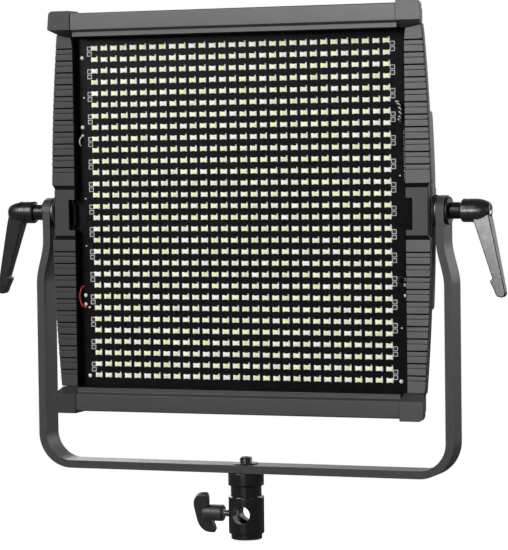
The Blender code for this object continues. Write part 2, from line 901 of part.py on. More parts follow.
# =============================== tilt clamps ======================================
for side, sx in SIDES:
    ax = "X" if sx > 0 else "-X"

    def ring(name, mat, r_out, r_in, x0, x1):
        turned(
            name,
            mat,
            ax,
            [(r_in, x1), (r_out, x1), (r_out, x0), (r_in, x0)],
            (0, 0, 0),
            24,
            closed=True,
        )

    ring("pivot_bush_" + side, BRASS, 8.0, 4.3, 158.0, 175.3)
    ring("friction_disc_" + side, RUBBER, 13.5, 4.5, 175.6, 177.4)
    ring("steel_washer_" + side, STEEL, 12.4, 4.5, 177.7, 179.2)
    ring("clamp_washer_" + side, BLACK_PLASTIC, 12.0, 4.5, 186.7, 188.6)

    turned(
        "lever_stud_" + side,
        BLACK_METAL,
        ax,
        [
            (0.0, 194.2),
            (2.5, 194.2),
            (2.5, 207.2),
            (6.0, 207.2),
            (6.0, 198.9),
            (7.15, 198.9),
            (7.15, 188.9),
            (4.0, 188.9),
            (4.0, 160.2),
            (0.0, 160.2),
        ],
        (0, 0, 0),
        20,
    )
    handle = turned(
        "lever_handle_" + side,
        BLACK_PLASTIC,
        ax,
        [
            (0, 224.2),
            (5.9, 224.2),
            (7.6, 222.0),
            (9.2, 218.0),
            (10.0, 212.5),
            (10.0, 200.2),
            (9.0, 199.2),
            (0, 199.2),
        ],
        (0, 0, 0),
        24,
    )
    arm_pts = [
        (209.6, -7.0),
        (223.6, -3.0),
        (225.6, -12.0),
        (237.0, -68.8),
        (236.2, -72.2),
        (233.2, LEVER_TIP_Z),
        (229.8, -72.8),
        (227.4, -68.2),
        (223.6, -60.0),
        (223.9, -58.6),
        (226.0, -58.2),
        (211.4, -12.0),
    ]
    arm_pts = [(x, z) for x, z in reversed(arm_pts)]
    if sx < 0:
        arm_pts = flip(arm_pts)
    arm = flat("add_arm_" + side, None, arm_pts, 5.4, "XZ")
    bevel(arm, 1.0, 2, 40)
    combine(handle, arm, "UNION")
    bore = turned(
        "cut_lever_bore_" + side,
        None,
        ax,
        [
            (0, 230.2),
            (4.8, 230.2),
            (4.8, 212.2),
            (2.7, 212.2),
            (2.7, 210.2),
            (6.4, 210.2),
            (6.4, 194.2),
            (0, 194.2),
        ],
        (0, 0, 0),
        20,
    )
    combine(handle, bore, "DIFFERENCE")

    turned(
        "lever_screw_" + side,
        CHROME,
        ax,
        [
            (0, 222.0),
            (1.9, 222.0),
            (1.9, 223.8),
            (4.2, 223.8),
            (4.2, 219.4),
            (2.2, 219.4),
            (2.2, 195.2),
            (0, 195.2),
        ],
        (0, 0, 0),
        16,
    )
    turns, steps = 3.5, 8
    coil = []
    n = int(turns * steps)
    for i in range(n + 1):
        a = 2 * math.pi * i / steps
        x = 213.1 + (218.6 - 213.1) * i / n
        coil.append((x * sx, 3.5 * math.cos(a), 3.5 * math.sin(a)))
    tube("lever_spring_" + side, STEEL, coil, 0.45, 0)

# =============================== yoke ==============================================


def yoke_outline():
    """Front-view outline of the bent bar, upper ends trimmed later."""
    up_o, up_i = YOKE_UP_OUT, YOKE_UP_OUT - YOKE_T
    lo_o, lo_i = YOKE_LOW_OUT, YOKE_LOW_OUT - YOKE_T
    r_i = YOKE_R_OUT - YOKE_T
    top = YOKE_HALF_W
    outer = [
        (up_o, top),
        (up_o, YOKE_JOG_TOP),
        (up_o + 1.3, YOKE_JOG_TOP - 9.0),
        (lo_o - 1.3, YOKE_JOG_BOTTOM + 9.0),
        (lo_o, YOKE_JOG_BOTTOM),
    ] + arc(lo_o - YOKE_R_OUT, YOKE_UNDER + YOKE_R_OUT, YOKE_R_OUT, 0, -90, 8)
    inner = [
        (up_i, top),
        (up_i, YOKE_JOG_TOP - 0.7),
        (up_i + 1.3, YOKE_JOG_TOP - 9.7),
        (lo_i - 1.3, YOKE_JOG_BOTTOM + 8.3),
        (lo_i, YOKE_JOG_BOTTOM - 0.7),
    ] + arc(lo_o - YOKE_R_OUT, YOKE_UNDER + YOKE_R_OUT, r_i, 0, -90, 8)
    left_outer = [(-x, z) for x, z in reversed(outer)]
    left_inner = [(-x, z) for x, z in inner]
    # down the right inner side is walked backwards so the outline closes
    return outer + left_outer + left_inner + list(reversed(inner))


yoke = flat("yoke_bracket", YOKE_PAINT, list(reversed(yoke_outline())), YOKE_HALF_W, "XZ")
# round the upper ends, seen from the side
corner_limits = []
for s in (1, -1):
    pts = [(0.0, 16.0), (16.0, 16.0), (16.0, 0.0)] + arc(0, 0, YOKE_HALF_W, 0, 90, 8)
    pts = [(y * s, z) for y, z in pts]
    if s > 0:
        pts.reverse()
    trim = flat("cut_yoke_end_" + ("a" if s > 0 else "b"), None, pts, 200.0, "YZ")
    combine(yoke, trim, "DIFFERENCE")
bevel(yoke, 0.7, 1, 50)
combine(yoke, rod("cut_yoke_pivot", None, "X", 4.6, -200.0, 200.0, segs=16), "DIFFERENCE")
combine(
    yoke,
    rod("cut_yoke_centre", None, "Z", 7.4, YOKE_UNDER - 5, YOKE_UNDER + 12, segs=24),
    "DIFFERENCE",
)
BAR_TOP = YOKE_UNDER + YOKE_T
turned(
    "thread_bush",
    STEEL,
    "Z",
    [
        (STUD_BORE_R, BAR_TOP + 1.0),
        (11.0, BAR_TOP + 1.0),
        (11.0, BAR_TOP + 0.3),
        (7.0, BAR_TOP + 0.3),
        (7.0, YOKE_UNDER + 0.3),
        (STUD_BORE_R, YOKE_UNDER + 0.3),
    ],
    (0, 0, 0),
    24,
    closed=True,
)

# =============================== receiver ==========================================
ring_top, ring_bottom = YOKE_UNDER - GAP, -240.0
turned(
    "lock_ring",
    BLACK_METAL,
    "Z",
    [
        (STUD_BORE_R, ring_top),
        (RING_R - 0.8, ring_top),
        (RING_R, ring_top - 0.8),
        (RING_R, ring_bottom + 0.8),
        (RING_R - 0.8, ring_bottom),
        (STUD_BORE_R, ring_bottom),
    ],
    (0, 0, 0),
    28,
    closed=True,
)
stud = turned(
    "centre_stud",
    BLACK_METAL,
    "Z",
    [
        (0, STUD_TOP),
        (STUD_R - 0.9, STUD_TOP),
        (STUD_R, STUD_TOP - 0.9),
        (STUD_R, -244.4),
        (0, -244.4),
    ],
    (0, 0, 0),
    20,
)
bm = bmesh.new()
bmesh.ops.create_cone(
    bm,
    cap_ends=True,
    segments=6,
    radius1=2.9 * MM,
    radius2=2.9 * MM,
    depth=8.0 * MM,
    matrix=Matrix.Translation((0, 0, STUD_TOP * MM)),
)
combine(stud, from_bmesh(bm, "cut_stud_hex", None), "DIFFERENCE")

receiver = turned(
    "receiver_body",
    BLACK_METAL,
    "Z",
    [
        (0.0, -245.0),
        (STUD_BORE_R, -245.0),
        (STUD_BORE_R, -240.3),
        (NECK_R, -240.3),
        (NECK_R, -249.6),
        (BODY_R - 0.7, -249.6),
        (BODY_R, -250.3),
        (BODY_R, -281.6),
        (BODY_R - 0.7, -282.3),
        (LIP_R, -282.3),
        (LIP_R, -PIVOT_Z),
        (SPIGOT_BORE_R, -PIVOT_Z),
        (SPIGOT_BORE_R, -247.6),
        (0.0, -247.6),
    ],
    (0, 0, 0),
    32,
)
combine(
    receiver,
    rod("cut_cross_bore", None, "Y", SPIGOT_BORE_R, -20.0, 20.0, (0, 0, CROSS_BORE_ZP), 24),
    "DIFFERENCE",
)
combine(
    receiver,
    rod("cut_clamp_hole", None, "X", 3.3, -20.0, -4.0, (0, 0, CLAMP_ZP), 14),
    "DIFFERENCE",
)

turned(
    "clamp_pad",
    STEEL,
    "-X",
    [(0, 10.8), (2.8, 10.8), (2.8, 8.3), (0, 8.3)],
    (0, 0, CLAMP_ZP),
    14,
)
turned(
    "clamp_screw",
    CHROME,
    "-X",
    [(0, 33.0), (3.0, 33.0), (3.0, 11.1), (0, 11.1)],
    (0, 0, CLAMP_ZP),
    14,
)
knob = turned(
    "t_handle",
    BLACK_PLASTIC,
    "-X",
    [
        (0, 40.0),
        (7.0, 40.0),
        (7.35, 34.0),
        (7.35, 22.4),
        (6.6, 21.6),
        (3.3, 21.6),
        (3.3, 33.4),
        (0, 33.4),
    ],
    (0, 0, CLAMP_ZP),
    20,
)
half_wing = [
    (-47.6, 0.0),
    (-47.6, 8.0),
    (-46.6, 13.0),
    (-44.5, 17.0),
    (-42.0, 19.4),
    (-39.5, 20.3),
    (-34.0, 20.6),
    (-32.5, 19.4),
    (-32.6, 15.0),
    (-34.0, 7.2),
    (-34.4, 0.0),
]
wing_pts = half_wing + [(x, -r) for x, r in reversed(half_wing[1:-1])]
wing = flat("add_wing", None, wing_pts, 2.9, "XZ", (0, 0, CLAMP_ZP))
wing.rotation_euler = (math.radians(29.6), 0, 0)
bevel(wing, 1.3, 2, 40)
combine(knob, wing, "UNION")
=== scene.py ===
"""Fine surfaces, finishes, light and camera for the LED panel light.

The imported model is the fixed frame.  Every shown piece below is built at the
same dimensions as the frame, in millimetres, and rides on one of its bodies.
X runs across the panel, Y from front to back, Z up; heights written as zp are
measured from the tilt axis.
"""

import math

import bmesh
import bpy
import numpy as np
from mathutils import Matrix, Vector


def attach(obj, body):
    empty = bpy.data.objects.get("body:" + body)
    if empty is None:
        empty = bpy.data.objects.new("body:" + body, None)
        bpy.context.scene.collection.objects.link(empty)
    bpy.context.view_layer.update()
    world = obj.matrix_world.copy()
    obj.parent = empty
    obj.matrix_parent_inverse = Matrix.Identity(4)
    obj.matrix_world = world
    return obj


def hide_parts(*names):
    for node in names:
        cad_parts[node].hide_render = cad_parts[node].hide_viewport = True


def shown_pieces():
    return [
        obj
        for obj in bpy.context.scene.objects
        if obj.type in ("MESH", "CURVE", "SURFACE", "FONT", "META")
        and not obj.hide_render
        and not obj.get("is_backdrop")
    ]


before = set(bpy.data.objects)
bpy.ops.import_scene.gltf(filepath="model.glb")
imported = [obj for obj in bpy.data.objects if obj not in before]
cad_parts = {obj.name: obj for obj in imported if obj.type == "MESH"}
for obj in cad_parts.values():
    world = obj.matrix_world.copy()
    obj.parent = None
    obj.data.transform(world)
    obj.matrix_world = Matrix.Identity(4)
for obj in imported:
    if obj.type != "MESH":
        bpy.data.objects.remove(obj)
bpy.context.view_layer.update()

MM = 0.001
PIVOT_Z = 287.1
SIDES = (("left", -1), ("right", 1))
scene = bpy.context.scene
SHOP = bpy.data.collections.new("workshop")
scene.collection.children.link(SHOP)
CUTTERS = []

# =============================== finishes ======================================


def node(nt, kind, **values):
    n = nt.nodes.new(kind)
    for k, v in values.items():
        if hasattr(n, k):
            setattr(n, k, v)
        else:
            n.inputs[k.replace("_", " ")].default_value = v
    return n


def maths(nt, op, a, b, clamp=False):
    n = nt.nodes.new("ShaderNodeMath")
    n.operation = op
    n.use_clamp = clamp
    for i, v in enumerate((a, b)):
        if isinstance(v, (int, float)):
            n.inputs[i].default_value = v
        else:
            nt.links.new(v, n.inputs[i])
    return n.outputs[0]


def remap(nt, value, lo, hi, to_lo, to_hi):
    n = nt.nodes.new("ShaderNodeMapRange")
    nt.links.new(value, n.inputs["Value"])
    n.inputs["From Min"].default_value = lo
    n.inputs["From Max"].default_value = hi
    n.inputs["To Min"].default_value = to_lo
    n.inputs["To Max"].default_value = to_hi
    return n.outputs["Result"]


def mix_colour(nt, factor, a, b):
    n = nt.nodes.new("ShaderNodeMix")
    n.data_type = "RGBA"
    for socket, v in (("Factor_Float", factor), ("A_Color", a), ("B_Color", b)):
        s = next(x for x in n.inputs if x.identifier == socket)
        if isinstance(v, (int, float)):
            s.default_value = v
        elif isinstance(v, tuple):
            s.default_value = (*v[:3], 1.0)
        else:
            nt.links.new(v, s)
    return next(x for x in n.outputs if x.identifier == "Result_Color")


def noise(nt, coord, scale, detail=2.0, rough=0.5, stretch=None):
    if stretch:
        m = nt.nodes.new("ShaderNodeMapping")
        m.inputs["Scale"].default_value = stretch
        nt.links.new(coord, m.inputs["Vector"])
        coord = m.outputs["Vector"]
    n = nt.nodes.new("ShaderNodeTexNoise")
    n.inputs["Scale"].default_value = scale
    n.inputs["Detail"].default_value = detail
    n.inputs["Roughness"].default_value = rough
    nt.links.new(coord, n.inputs["Vector"])
    return n.outputs["Fac"]


def finish(
    name,
    colour,
    rough,
    metal=0.0,
    grain=1800.0,
    grain_depth=0.02,
    mottle=0.08,
    rough_var=0.10,
    wear_and_edge_highlight=0.0,
    wear_and_highlight_colour=(0.35, 0.35, 0.36),
    dust=0.0,
    stretch=None,
    coat=0.0,
    specular=0.5,
    painted_glow=0.0,
    tint=None,
):
    """A procedural finish: mottled colour, uneven gloss, fine grain, edges lightened partly as wear and partly as a
    painted highlight, dust, and an optional painted glow.
    """
    m = bpy.data.materials.new(name)
    m.use_nodes = True
    m.diffuse_color = (*colour, 1.0)
    nt = m.node_tree
    b = nt.nodes["Principled BSDF"]
    tc = nt.nodes.new("ShaderNodeTexCoord").outputs["Object"]
    slow = noise(nt, tc, 28.0, 3.0, 0.55)
    mid = noise(nt, tc, 210.0, 4.0, 0.6, stretch)
    fine = noise(nt, tc, grain, 2.0, 0.5, stretch)
    dark = tuple(c * (1 - mottle) for c in colour)
    light = tuple(min(1.0, c * (1 + mottle)) for c in colour)
    blend = maths(nt, "ADD", maths(nt, "MULTIPLY", slow, 0.6), maths(nt, "MULTIPLY", mid, 0.4))
    col = mix_colour(nt, remap(nt, blend, 0.3, 0.7, 0.0, 1.0), dark, light)
    if tint:
        at = nt.nodes.new("ShaderNodeAttribute")
        at.attribute_name = tint
        mul = nt.nodes.new("ShaderNodeMix")
        mul.data_type = "RGBA"
        mul.blend_type = "MULTIPLY"
        for s in mul.inputs:
            if s.identifier == "Factor_Float":
                s.default_value = 1.0
            elif s.identifier == "A_Color":
                nt.links.new(col, s)
            elif s.identifier == "B_Color":
                nt.links.new(at.outputs["Color"], s)
        col = next(x for x in mul.outputs if x.identifier == "Result_Color")
    rgh = remap(nt, mid, 0.25, 0.75, rough - rough_var / 2, rough + rough_var / 2)
    # edge lightening: partly worn paint, partly a painted highlight where edges would catch the light
    if wear_and_edge_highlight > 0:
        bev = nt.nodes.new("ShaderNodeBevel")
        bev.samples = 3
        bev.inputs["Radius"].default_value = 0.0007
        geo = nt.nodes.new("ShaderNodeNewGeometry")
        dot = nt.nodes.new("ShaderNodeVectorMath")
        dot.operation = "DOT_PRODUCT"
        nt.links.new(bev.outputs["Normal"], dot.inputs[0])
        nt.links.new(geo.outputs["Normal"], dot.inputs[1])
        edge = remap(nt, dot.outputs["Value"], 0.995, 0.86, 0.0, 1.0)
        worn_and_lit_edges = maths(nt, "MULTIPLY", edge, remap(nt, mid, 0.42, 0.62, 0.15, 1.0))
        worn_and_lit_edges = maths(nt, "MULTIPLY", worn_and_lit_edges, wear_and_edge_highlight, True)
        col = mix_colour(nt, worn_and_lit_edges, col, wear_and_highlight_colour)
    if dust > 0:
        geo2 = nt.nodes.new("ShaderNodeNewGeometry")
        sep = nt.nodes.new("ShaderNodeSeparateXYZ")
        nt.links.new(geo2.outputs["Normal"], sep.inputs[0])
        up = remap(nt, sep.outputs["Z"], 0.35, 0.95, 0.0, dust)
        up = maths(nt, "MULTIPLY", up, remap(nt, mid, 0.3, 0.7, 0.4, 1.0))
        col = mix_colour(nt, up, col, (0.42, 0.41, 0.39))
        rgh = maths(nt, "ADD", rgh, maths(nt, "MULTIPLY", up, 0.6), True)
    nt.links.new(col, b.inputs["Base Color"])
    nt.links.new(rgh, b.inputs["Roughness"])
    b.inputs["Metallic"].default_value = metal
    b.inputs["Specular IOR Level"].default_value = specular
    if coat > 0:
        b.inputs["Coat Weight"].default_value = coat
        b.inputs["Coat Roughness"].default_value = 0.12
    if grain_depth > 0:
        bump = nt.nodes.new("ShaderNodeBump")
        bump.inputs["Strength"].default_value = min(1.0, grain_depth * 10)
        bump.inputs["Distance"].default_value = 0.00012
        nt.links.new(fine, bump.inputs["Height"])
        nt.links.new(bump.outputs["Normal"], b.inputs["Normal"])
    # painted light: the surface glows faintly in its own colour, with no lamp in it
    if painted_glow > 0:
        nt.links.new(col, b.inputs["Emission Color"])
        b.inputs["Emission Strength"].default_value = painted_glow
    return m


GREY = finish("satin_grey_plastic", (0.050, 0.051, 0.053), 0.44, 0.0, 2400, 0.035, 0.10, 0.10, 0.22, (0.20, 0.20, 0.21), 0.03)
COVER = finish("ribbed_grey_plastic", (0.045, 0.046, 0.047), 0.48, 0.0, 2200, 0.04, 0.12, 0.12, 0.35, (0.22, 0.22, 0.23), 0.03)
RAIL = finish("painted_rail", (0.048, 0.048, 0.050), 0.40, 0.2, 2600, 0.03, 0.08, 0.10, 0.25, (0.26, 0.26, 0.27), 0.03)
INNER = finish("matt_black_inner", (0.004, 0.004, 0.005), 0.7, 0.0, 1500, 0.03, 0.2, 0.15, specular=0.12)
BOARD = finish("black_solder_mask", (0.0072, 0.0070, 0.0084), 0.3, 0.0, 900, 0.008, 0.25, 0.14, specular=0.12)
TRACE = finish("covered_copper_track", (0.007, 0.007, 0.010), 0.34, 0.0, 900, 0.008, 0.2, 0.14, specular=0.15)
# LED bodies, LED windows and tinned pads glow faintly: painted light that brightens them inside the shaded recess
LED_BODY = finish("led_ceramic", (0.82, 0.84, 0.72), 0.38, 0.0, 3000, 0.01, 0.05, 0.1, painted_glow=0.13)
LED_FACE = finish("led_phosphor", (0.84, 0.87, 0.51), 0.42, 0.0, 5200, 0.03, 0.05, 0.12, painted_glow=0.13, tint="tint")
SOLDER = finish("tinned_pad", (0.74, 0.75, 0.68), 0.36, 0.12, 2600, 0.03, 0.10, 0.16, painted_glow=0.05)
SILK = finish("white_print", (0.66, 0.67, 0.62), 0.6, 0.0, 2600, 0.02, 0.08, 0.1)
PRINT = finish("grey_print", (0.56, 0.57, 0.57), 0.6, 0.0, 2600, 0.02, 0.15, 0.1)
# a darker copy of the cover plastic for the centre blocks: painted shade
BLOCK_PAINTED_SHADE = finish("smooth_grey_plastic", (0.035, 0.036, 0.037), 0.46, 0.0, 2200, 0.03, 0.10, 0.12, 0.35, (0.20, 0.20, 0.21), 0.03)
# a darker copy of the grey plastic, given to the left corner caps: painted shade
GREY_PAINTED_SHADE = finish("satin_grey_plastic_left", (0.034, 0.035, 0.037), 0.46, 0.0, 2400, 0.035, 0.10, 0.10, 0.22, (0.20, 0.20, 0.21), 0.03)
WSTEEL = finish("dull_steel", (0.20, 0.20, 0.205), 0.42, 1.0, 1300, 0.02, 0.10, 0.14)
WING = finish("wing_black", (0.034, 0.034, 0.035), 0.42, 0.0, 2100, 0.04, 0.12, 0.12, 0.2, (0.16, 0.16, 0.16))
STUDM = finish("burnished_stud", (0.20, 0.20, 0.205), 0.22, 1.0, 1500, 0.02, 0.12, 0.14, 0.4, (0.5, 0.5, 0.5))
YOKE = finish("powder_coat", (0.038, 0.0385, 0.039), 0.46, 0.15, 1500, 0.06, 0.10, 0.12, 0.22, (0.20, 0.20, 0.20), 0.10)
LEVER = finish("lever_black", (0.010, 0.010, 0.011), 0.30, 0.0, 2000, 0.02, 0.12, 0.12, 0.18, (0.12, 0.12, 0.125), coat=0.2)
WASHER = finish("washer_black", (0.009, 0.009, 0.010), 0.42, 0.0, 1800, 0.02, 0.12, 0.12)
CHROME = finish("bright_plate", (0.78, 0.78, 0.79), 0.16, 1.0, 900, 0.006, 0.05, 0.10)
STEEL = finish("zinc_steel", (0.56, 0.56, 0.57), 0.30, 1.0, 1300, 0.02, 0.07, 0.14, stretch=(1.0, 1.0, 3.0))
ALLOY = finish("mill_aluminium", (0.64, 0.65, 0.67), 0.36, 1.0, 1300, 0.02, 0.06, 0.14, stretch=(6.0, 1.0, 1.0))
BRASS = finish("turned_brass", (0.68, 0.50, 0.22), 0.30, 1.0, 1500, 0.015, 0.08, 0.14)
GOLD = finish("gold_contact", (0.86, 0.62, 0.24), 0.24, 1.0, 1500, 0.008, 0.06, 0.10)
ANODISED = finish("black_anodised", (0.012, 0.012, 0.013), 0.24, 0.3, 1700, 0.006, 0.12, 0.08, 0.25, (0.20, 0.20, 0.205), coat=0.3)
OXIDE = finish("black_oxide", (0.03, 0.03, 0.032), 0.26, 0.7, 1500, 0.02, 0.12, 0.14, 0.3, (0.24, 0.24, 0.24))
BLACK = finish("black_plastic", (0.021, 0.021, 0.022), 0.42, 0.0, 2100, 0.035, 0.12, 0.12, 0.15, (0.09, 0.09, 0.092))
KNOB = finish("soft_black_knob", (0.022, 0.022, 0.023), 0.55, 0.0, 2100, 0.04, 0.12, 0.12, 0.12, (0.08, 0.08, 0.082))
RUBBER = finish("rubber", (0.018, 0.018, 0.018), 0.78, 0.0, 1200, 0.05, 0.15, 0.10)
RED = finish("red_wire", (0.52, 0.03, 0.025), 0.34, 0.0, 1400, 0.01, 0.08, 0.1)
BLACKW = finish("black_wire", (0.02, 0.02, 0.021), 0.36, 0.0, 1400, 0.01, 0.08, 0.1)
WHITEW = finish("white_wire", (0.66, 0.66, 0.64), 0.4, 0.0, 1400, 0.01, 0.06, 0.1)
GLASS = finish("display_glass", (0.010, 0.014, 0.014), 0.08, 0.0, 900, 0.0, 0.1, 0.04, coat=0.5)
LCD = finish("display_segment", (0.22, 0.30, 0.26), 0.3, 0.0, 900, 0.0, 0.08, 0.06)
PCB = finish("green_board", (0.016, 0.12, 0.05), 0.42, 0.0, 900, 0.01, 0.15, 0.12)

# =============================== shape helpers =================================


def place(ob, name, at, cutter):
    ob.name = name
    ob.location = (at[0] * MM, at[1] * MM, (at[2] + PIVOT_Z) * MM)
    SHOP.objects.link(ob)
    if cutter:
        ob.hide_render = True
        CUTTERS.append(ob)
    return ob


def from_bmesh(bm, name, at=(0, 0, 0), cutter=False):
    me = bpy.data.meshes.new(name)
    bmesh.ops.recalc_face_normals(bm, faces=bm.faces)
    if bm.calc_volume(signed=True) < 0:
        bmesh.ops.reverse_faces(bm, faces=bm.faces)
    bm.to_mesh(me)
    bm.free()
    return place(bpy.data.objects.new(name, me), name, at, cutter)


def bevel(ob, width, segments=3, angle=30.0):
    m = ob.modifiers.new("bevel", "BEVEL")
    m.width = width * MM
    m.segments = segments
    m.limit_method = "ANGLE"
    m.angle_limit = math.radians(angle)
    m.use_clamp_overlap = True
    m.harden_normals = False
    return ob


def combine(ob, other, operation):
    m = ob.modifiers.new(operation.lower(), "BOOLEAN")
    m.operation = operation
    m.solver = "EXACT"
    m.object = other
    return ob


def add_box(bm, x0, x1, y0, y1, z0, z1):
    mat = Matrix.Translation(
        Vector(((x0 + x1) / 2, (y0 + y1) / 2, (z0 + z1) / 2)) * MM
    ) @ Matrix.Diagonal(
        Vector((abs(x1 - x0) * MM, abs(y1 - y0) * MM, abs(z1 - z0) * MM, 1.0))
    )
    bmesh.ops.create_cube(bm, size=1.0, matrix=mat)


def boxes(name, limits, at=(0, 0, 0), cutter=False):
    bm = bmesh.new()
    for lim in limits:
        add_box(bm, *lim)
    return from_bmesh(bm, name, at, cutter)


AXES = {
    "Z": Matrix.Identity(4),
    "X": Matrix.Rotation(math.radians(90), 4, "Y"),
    "-X": Matrix.Rotation(math.radians(-90), 4, "Y"),
    "Y": Matrix.Rotation(math.radians(-90), 4, "X"),
    "-Y": Matrix.Rotation(math.radians(90), 4, "X"),
}


def rods(name, axis, specs, at=(0, 0, 0), segs=32, cutter=False):
    """Cylinders or cones; each spec is (r0, r1, h0, h1, x, y, z)."""
    bm = bmesh.new()
    for r0, r1, h0, h1, x, y, z in specs:
        bmesh.ops.create_cone(
            bm,
            cap_ends=True,
            segments=segs,
            radius1=r0 * MM,
            radius2=r1 * MM,
            depth=abs(h1 - h0) * MM,
            matrix=Matrix.Translation(Vector((x, y, z)) * MM)
            @ AXES[axis]
            @ Matrix.Translation((0, 0, (h0 + h1) / 2 * MM)),
        )
    return from_bmesh(bm, name, at, cutter)


def turned(name, axis, profile, at=(0, 0, 0), segs=64, closed=False, cutter=False):
    """Turn a (radius, height) profile about an axis; open ones start and end on it."""
    bm = bmesh.new()
    n = len(profile)
    rings = []
    for r, h in profile:
        if r < 1e-6:
            rings.append([bm.verts.new((0, 0, h * MM))])
        else:
            rings.append(
                [
                    bm.verts.new(
                        (
                            r * MM * math.cos(2 * math.pi * k / segs),
                            r * MM * math.sin(2 * math.pi * k / segs),
                            h * MM,
                        )
                    )
                    for k in range(segs)
                ]
            )
    pairs = list(zip(rings, rings[1:]))
    if closed:
        pairs.append((rings[-1], rings[0]))
    for a, b in pairs:
        for k in range(segs):
            j = (k + 1) % segs
            if len(a) == 1 and len(b) == 1:
                continue
            if len(a) == 1:
                bm.faces.new((a[0], b[k], b[j]))
            elif len(b) == 1:
                bm.faces.new((a[k], b[0], a[j]))
            else:
                bm.faces.new((a[k], b[k], b[j], a[j]))
    bm.transform(AXES[axis])
    return from_bmesh(bm, name, at, cutter)


def round_profile(pts, r, n=3):
    """Round the inner corners of an open (radius, height) profile by r."""
    out = [pts[0]]
    for a, b, c in zip(pts, pts[1:], pts[2:]):
        va = Vector(a) - Vector(b)
        vc = Vector(c) - Vector(b)
        if va.length < 1e-6 or vc.length < 1e-6:
            out.append(b)
            continue
        d = min(r, va.length * 0.45, vc.length * 0.45)
        p0 = Vector(b) + va.normalized() * d
        p1 = Vector(b) + vc.normalized() * d
        for i in range(n + 1):
            t = i / n
            q = p0 * (1 - t) ** 2 + Vector(b) * 2 * t * (1 - t) + p1 * t * t
            out.append((max(0.0, q.x), q.y))
    out.append(pts[-1])
    return out


def flat(name, points, half, plane="XZ", at=(0, 0, 0), shift=0.0, cutter=False):
    """Extrude a flat outline by half a thickness to each side."""
    bm = bmesh.new()
    if plane == "XZ":
        lift = lambda a, b, t: (a * MM, t * MM, b * MM)
    elif plane == "YZ":
        lift = lambda a, b, t: (t * MM, a * MM, b * MM)
    else:
        lift = lambda a, b, t: (a * MM, b * MM, t * MM)
    one = [bm.verts.new(lift(a, b, shift - half)) for a, b in points]
    two = [bm.verts.new(lift(a, b, shift + half)) for a, b in points]
    n = len(points)
    for i in range(n):
        j = (i + 1) % n
        bm.faces.new((one[i], one[j], two[j], two[i]))
    bm.faces.new(one)
    bm.faces.new(list(reversed(two)))
    return from_bmesh(bm, name, at, cutter)


def curve_mesh(name, points, r, res=4, at=(0, 0, 0), cyclic=False):
    cu = bpy.data.curves.new(name + "_path", "CURVE")
    cu.dimensions = "3D"
    cu.bevel_depth = r * MM
    cu.bevel_resolution = res
    cu.use_fill_caps = not cyclic
    sp = cu.splines.new("POLY")
    sp.points.add(len(points) - 1)
    for p, q in zip(sp.points, points):
        p.co = (q[0] * MM, q[1] * MM, q[2] * MM, 1.0)
    sp.use_cyclic_u = cyclic
    tmp = bpy.data.objects.new(name + "_path", cu)
    scene.collection.objects.link(tmp)
    bpy.context.view_layer.update()
    dg = bpy.context.evaluated_depsgraph_get()
    me = bpy.data.meshes.new_from_object(tmp.evaluated_get(dg))
    bpy.data.objects.remove(tmp, do_unlink=True)
    bm = bmesh.new()
    bm.from_mesh(me)
    bpy.data.meshes.remove(me)
    bmesh.ops.remove_doubles(bm, verts=bm.verts, dist=0.000005)
    return from_bmesh(bm, name, at)


def smooth_path(points, n=6):
    out = []
    p = [Vector(q) for q in points]
    p = [p[0] * 2 - p[1]] + p + [p[-1] * 2 - p[-2]]
    for i in range(1, len(p) - 2):
        for k in range(n):
            t = k / n
            a, b, c, d = p[i - 1], p[i], p[i + 1], p[i + 2]
            out.append(
                0.5
                * (
                    2 * b
                    + (c - a) * t
                    + (2 * a - 5 * b + 4 * c - d) * t * t
                    + (3 * b - a - 3 * c + d) * t**3
                )
            )
    out.append(p[-2])
    return [tuple(v) for v in out]


def arc(cx, cy, r, a0, a1, n):
    return [
        (
            cx + r * math.cos(math.radians(a0 + (a1 - a0) * i / n)),
            cy + r * math.sin(math.radians(a0 + (a1 - a0) * i / n)),
        )
        for i in range(n + 1)
    ]


def rounded_rect(x0, x1, y0, y1, r, n=8):
    return (
        arc(x1 - r, y1 - r, r, 0, 90, n)
        + arc(x0 + r, y1 - r, r, 90, 180, n)
        + arc(x0 + r, y0 + r, r, 180, 270, n)
        + arc(x1 - r, y0 + r, r, 270, 360, n)
    )


def flip(points):
    return [(-a, b) for a, b in reversed(points)]


def bake(ob):
    """The evaluated mesh in world space; the working object is removed."""
    bpy.context.view_layer.update()
    dg = bpy.context.evaluated_depsgraph_get()
    me = bpy.data.meshes.new_from_object(ob.evaluated_get(dg))
    me.transform(ob.matrix_world)
    bpy.data.objects.remove(ob, do_unlink=True)
    return me


def merge(name, obs):
    """Join working objects into one working object."""
    bm = bmesh.new()
    for ob in obs:
        me = bake(ob)
        bm.from_mesh(me)
        bpy.data.meshes.remove(me)
    me = bpy.data.meshes.new(name)
    bm.to_mesh(me)
    bm.free()
    new = bpy.data.objects.new(name, me)
    SHOP.objects.link(new)
    return new


def piece(ob, name, body, mat, nodes=(), angle=35.0, weighted=True):
    me = bake(ob)
    me.name = name
    me.materials.clear()
    me.materials.append(mat)
    n = len(me.polygons)
    me.polygons.foreach_set("use_smooth", [True] * n)
    me.polygons.foreach_set("material_index", [0] * n)
    me.set_sharp_from_angle(angle=math.radians(angle))
    me.update()
    new = bpy.data.objects.new(name, me)
    scene.collection.objects.link(new)
    if weighted:
        w = new.modifiers.new("normals", "WEIGHTED_NORMAL")
        w.keep_sharp = True
        w.weight = 50
    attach(new, body)
    if nodes:
        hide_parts(*nodes)
    return new


# =============================== panel frame ====================================
RAIL_OUT, RAIL_LIP, RAIL_HALF = 175.7, 155.2, 149.9
COVER_BACK, RAIL_FRONT = -8.6, -27.3


